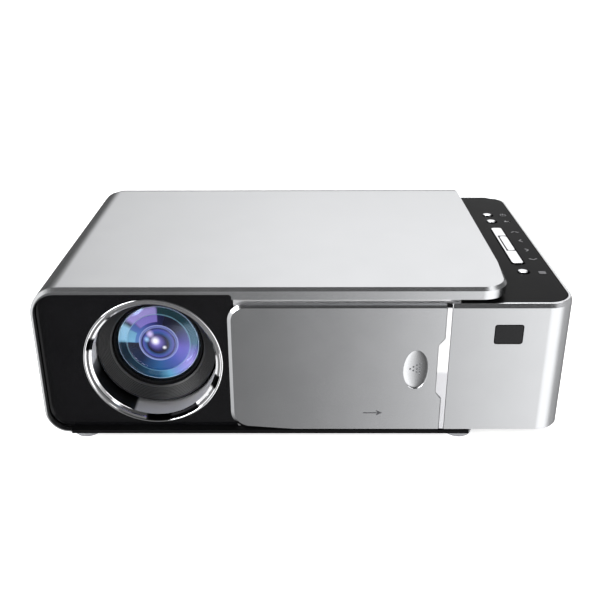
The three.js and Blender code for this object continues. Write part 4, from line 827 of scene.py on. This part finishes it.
def signs():
    """Power, back, up, left, right, down and menu, from the rear to the front"""
    x = sign_x
    marks = arc(x, 100.9, 1.3, 125, 415) + strokes((x, 101.2), (x, 102.7))
    for tip in ((x + 0.9, 91.9), (x - 0.6, 92.6), (x - 0.6, 91.2)):
        marks += strokes((x - 1.4, 91.9), tip)
    marks += arc(x + 0.9, 91.3, 0.6, -90, 90)
    marks += strokes((x - 1.5, 76.9), (x, 78), (x + 1.5, 76.9))
    marks += strokes((x + 0.5, 67.5), (x - 0.7, 66.2), (x + 0.5, 64.9))
    marks += strokes((x - 0.5, 56.3), (x + 0.7, 55), (x - 0.5, 53.7))
    marks += strokes((x - 1.5, 45), (x, 43.9), (x + 1.5, 45))
    for y in (29.3, 30.2, 31.1):
        marks += strokes((x - 1.2, y), (x + 1.2, y))
    return joined(*marks)


piece(signs(), "key_signs", "housing", pale_ink)


# Feet: turned rubber pads with a rounded rim, up to the tray
foot_top = tray_under - 0.01
foot_profile = [(0, 0), (4.9, 0), (5.25, 0.12), (5.45, 0.5), (6, foot_top), (0, foot_top)]
for side, foot_x in (("left", -85.5), ("right", 60.8)):
    for end, foot_y in (("front", 7.2), ("rear", 122)):
        piece(turned(foot_profile, (foot_x, foot_y, 0), "Z", 64), f"pad_{end}_{side}", "housing",
              grey_rubber, [f"foot_{end}_{side}"])


# Slide bed trim: a bright step and face beside the side shell, a black block above as painted shade, and the
# black rail's end
edge_left, edge_right, bed_back = 49.7, shell_left - 0.05, bezel_front + 0.02
step_left, step_top = cover_right + 0.2, cover_top - 1.3
tab_left, tab_low, tab_high = cover_right - 2.05, cover_bottom + 13.75, cover_top - 13.85
bed_step = prism([(step_left, cover_bottom), (edge_right, cover_bottom), (edge_right, step_top),
                  (step_left, step_top), (step_left, tab_high), (tab_left, tab_high - notch_slope),
                  (tab_left, tab_low + notch_slope), (step_left, tab_low)], "Y", 0.55, bezel_front - 0.5)
bed_face = slab(edge_left, edge_right, 2.3, bed_back, cover_bottom, step_top)
# Painted shade: a matt black block that fills the gap at the top of the bed strip, where only shade is
bed_shade_block = slab(cover_right + 0.15, edge_right, 1.2, bed_back, cover_top - 1.28, 57.2)
rail_end = slab(61.5, 64.1, 0, 1.8, tray_under, floor_top)
piece(joined(softened(bed_step, FINE_EDGE), softened(bed_face, FINE_EDGE)), "bed_edge", "housing",
      bright_edge)
piece(softened(bed_shade_block, FINE_EDGE), "bed_shade_block", "housing", matt_black)
piece(softened(rail_end, PART_EDGE), "rail_end", "housing", matt_black)


# Solids whose shape is right: a merged copy with softened edges
def refined(name, width):
    mesh = bmesh.new()
    mesh.from_mesh(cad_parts[name].data)
    mesh.transform(to_frame.inverted())
    bmesh.ops.remove_doubles(mesh, verts=mesh.verts, dist=TOUCH)
    bmesh.ops.dissolve_limit(mesh, angle_limit=math.radians(0.5), verts=mesh.verts, edges=mesh.edges)
    return softened(mesh, width)


def dress(material, *names, body="housing", width=PART_EDGE):
    for name in names:
        piece(refined(name, width), f"{name}_finished", body, material, [name])


dress(gloss_black, "front_bezel", "ir_window", width=GLOSS_EDGE)
dress(bright_bed, "slide_bed")
dress(matt_black, "bottom_tray", "rear_panel", "lens_mount", "optical_box", "av_jack", "dc_jack", "speaker")
dress(matt_black, "cover_slider", body="lens_cover")
dress(matt_black, "fan_rotor", body="rotor")
dress(aluminium, "led_board", "heat_sink")
dress(steel, "vga_socket", "hdmi_socket", "usb_socket", *(f"case_screw_{n}" for n in range(1, 7)),
      *(f"board_screw_{n}" for n in range(1, 5)))
dress(steel, "cover_screw_lower", "cover_screw_upper", body="lens_cover")


# Dark plastic inside the metal sockets
def vga_insulator():
    """Insulator with three staggered rows of five pin holes"""
    x, z = -5.28, 17.15
    low_half, high_half, half_height = 6.6, 7.6, 3.4
    pitch, stagger, row_pitch = 2.3, 0.57, 1.95
    block = prism([(x - low_half, z - half_height), (x + low_half, z - half_height),
                   (x + high_half, z + half_height), (x - high_half, z + half_height)], "Y",
                  rear_panel_front + 0.05, case_depth - 0.9)
    pins = [rod((x + pitch * (column - 2) + stagger * row, 0, z + row_pitch * row), "Y", 0.5,
                rear_panel_front + 0.4, case_depth, 16) for row in (-1, 0, 1) for column in range(5)]
    return carved(block, joined(*pins))


def socket_tongue(x0, x1, z):
    """Plastic tongue with five contact strips let into its upper side"""
    front, rear, half_height, skin = 118, case_depth - 0.75, 0.82, 0.7
    tongue = slab(x0, x1, front, rear, z - half_height, z + half_height)
    pitch = (x1 - x0) / 6
    grooves = [slab(x0 + pitch * (n + 0.7), x0 + pitch * (n + 1.3), front - PAST, case_depth - 1.2,
                    z + skin, z + 2) for n in range(5)]
    return carved(tongue, joined(*grooves))


piece(vga_insulator(), "vga_insulator", "housing", matt_black)
piece(socket_tongue(17.9, 29.55, 13.95), "hdmi_tongue", "housing", matt_black)
piece(socket_tongue(39.4, 49.3, 14.05), "usb_tongue", "housing", matt_black)


# Solids that are hidden, or nearly so like the fan's frame, keep their shape and get their finish
def finished(material, *names):
    for name in names:
        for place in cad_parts[name].material_slots:
            place.material = material


finished(acrylic, "rear_lens", "front_fresnel", "rear_fresnel", "heat_glass", "condenser_lens")
finished(lcd, "lcd_panel")
finished(chrome, "reflector")
finished(matt_black, "fan_frame")
finished(magnet, "cover_magnet")
finished(board, "cover_sensor_board", "keypad_board", "ir_receiver_board", "main_board")


# The stage: a wide pale floor, and a studio surround that holds all the light
def floor():
    mesh = bmesh.new()
    bmesh.ops.create_grid(mesh, x_segments=1, y_segments=1, size=3)
    made = added("floor", mesh)
    paper = grained("white_paper", "backdrop", ("#f6f6f6", "#fafafa"), 3, 0.01, (0.8, 0.9),
                    Specular_IOR_Level=0, Emission_Color=linear("#ffffff"), Emission_Strength=0.7)
    made.data.materials.append(paper)
    made.visible_glossy = False


def studio_surround():
    """World light that changes with direction: a light tent with dark and light sides for the soft metal,
    and three round lamps"""
    world = bpy.data.worlds.new("studio")
    bpy.context.scene.world = world
    world.use_nodes = True
    tree = world.node_tree
    toward = node(tree, "TexCoord").outputs["Generated"]
    axes = node(tree, "SeparateXYZ", Vector=toward)
    x, y, z = (axes.outputs[axis] for axis in "XYZ")

    def ramp(value, low, high, stops):
        """Brightness that follows a value, by stops of (value, brightness)"""
        share = node(tree, "MapRange", Value=value, _1=low, _2=high)
        spread = [((place - low) / (high - low), level) for place, level in stops]
        return node(tree, "ValToRGB", {"stops": spread}, Fac=share.outputs[0]).outputs["Color"]

    def crossfade(value, low, high, one, other):
        """One light that turns into the other while a value goes from low to high"""
        share = node(tree, "MapRange", {"interpolation_type": "SMOOTHSTEP"},
                     Value=value, _1=low, _2=high)
        return node(tree, "Mix", {"data_type": "RGBA"}, _0=share.outputs[0], _6=one, _7=other).outputs[2]

    front_low = ramp(x, -1, 1, [(-0.85, 1.1), (-0.62, 0.35), (-0.42, 0.14), (-0.25, 0.16), (-0.07, 0.25),
                                (0.03, 0.4), (0.12, 0.68), (0.2, 1.1), (0.28, 1.28), (0.4, 1.75), (0.9, 1.8)])
    front_high = ramp(x, -1, 1, [(-0.85, 1.1), (-0.65, 0.1), (0, 0.06), (0.55, 0.08), (0.8, 0.6)])
    back_high = ramp(x, -1, 1, [(-0.48, 0.1), (-0.37, 0.35), (-0.31, 0.82), (-0.2, 1.0), (0, 1.25),
                                (0.3, 1.35), (0.42, 1.0), (0.6, 0.15)])
    back_low = ramp(z, -1, 0, [(-0.95, 0.95), (-0.75, 0.85), (-0.55, 0.26), (-0.3, 0.2), (-0.1, 0.1)])
    right_glow = ramp(x, -1, 1, [(0.4, 0.1), (0.65, 0.3), (0.9, 0.6)])
    back_low = node(tree, "Mix", {"data_type": "RGBA", "blend_type": "LIGHTEN"}, _0=1.0,
                    _6=back_low, _7=right_glow).outputs[2]
    front = crossfade(z, -0.12, 0.06, front_low, front_high)
    back = crossfade(z, 0.12, 0.28, back_low, back_high)

    # The seam between front and back lies at y = 0 in the middle, further forward on the right side and
    # further back on the left
    leftward = node(tree, "Math", {"operation": "MINIMUM"}, _0=x, _1=0).outputs[0]
    to_right = node(tree, "MapRange", Value=x, _2=0.5).outputs[0]
    slope = node(tree, "Math", {"operation": "MULTIPLY_ADD"}, _0=to_right, _1=-0.5, _2=1.0)
    seam = node(tree, "Math", {"operation": "MULTIPLY"}, _0=slope.outputs[0], _1=y).outputs[0]
    for side, lean in ((to_right, 0.13), (leftward, 0.6)):
        seam = node(tree, "Math", {"operation": "MULTIPLY_ADD"}, _0=side, _1=lean, _2=seam).outputs[0]
    lit = crossfade(seam, -0.1, 0.12, front, back)

    # Round lamps far away, each with its direction, the cosine at its edge and its strength
    for direction, edge, strength in (((0, 0.34, 0.94), 0.95, 5), ((-0.62, -0.68, 0.4), 0.965, 8.5),
                                      ((0.7, -0.44, 0.56), 0.94, 2.5)):
        near = node(tree, "VectorMath", {"operation": "DOT_PRODUCT"}, _0=toward, _1=direction)
        lamp = ramp(near.outputs["Value"], 0, 1, [(edge - 0.01, 0), (edge, strength), (1, strength)])
        lit = node(tree, "Mix", {"data_type": "RGBA", "blend_type": "ADD"}, _0=1.0, _6=lit,
                   _7=lamp).outputs[2]
    fed(tree.nodes["Background"], Color=lit, Strength=1)


def camera():
    """The camera that was fitted to the case's straight edges in the photograph, in degrees and metres"""
    place, yaw, down, roll = (0.0005, -0.33469, 0.18209), 0.375, 24.404, -0.194
    lens = bpy.data.cameras.new("camera")
    lens.lens = 49.254
    lens.sensor_width = 36
    lens.clip_start = 0.01
    made = bpy.data.objects.new("camera", lens)
    bpy.context.scene.collection.objects.link(made)
    view = Matrix.Translation(place)
    for angle, axis in ((yaw, "Z"), (90 - down, "X"), (roll, "Z")):
        view = view @ Matrix.Rotation(math.radians(angle), 4, axis)
    made.matrix_world = view
    bpy.context.scene.camera = made


floor()
studio_surround()
bpy.context.scene.view_settings.view_transform = "Standard"
camera()
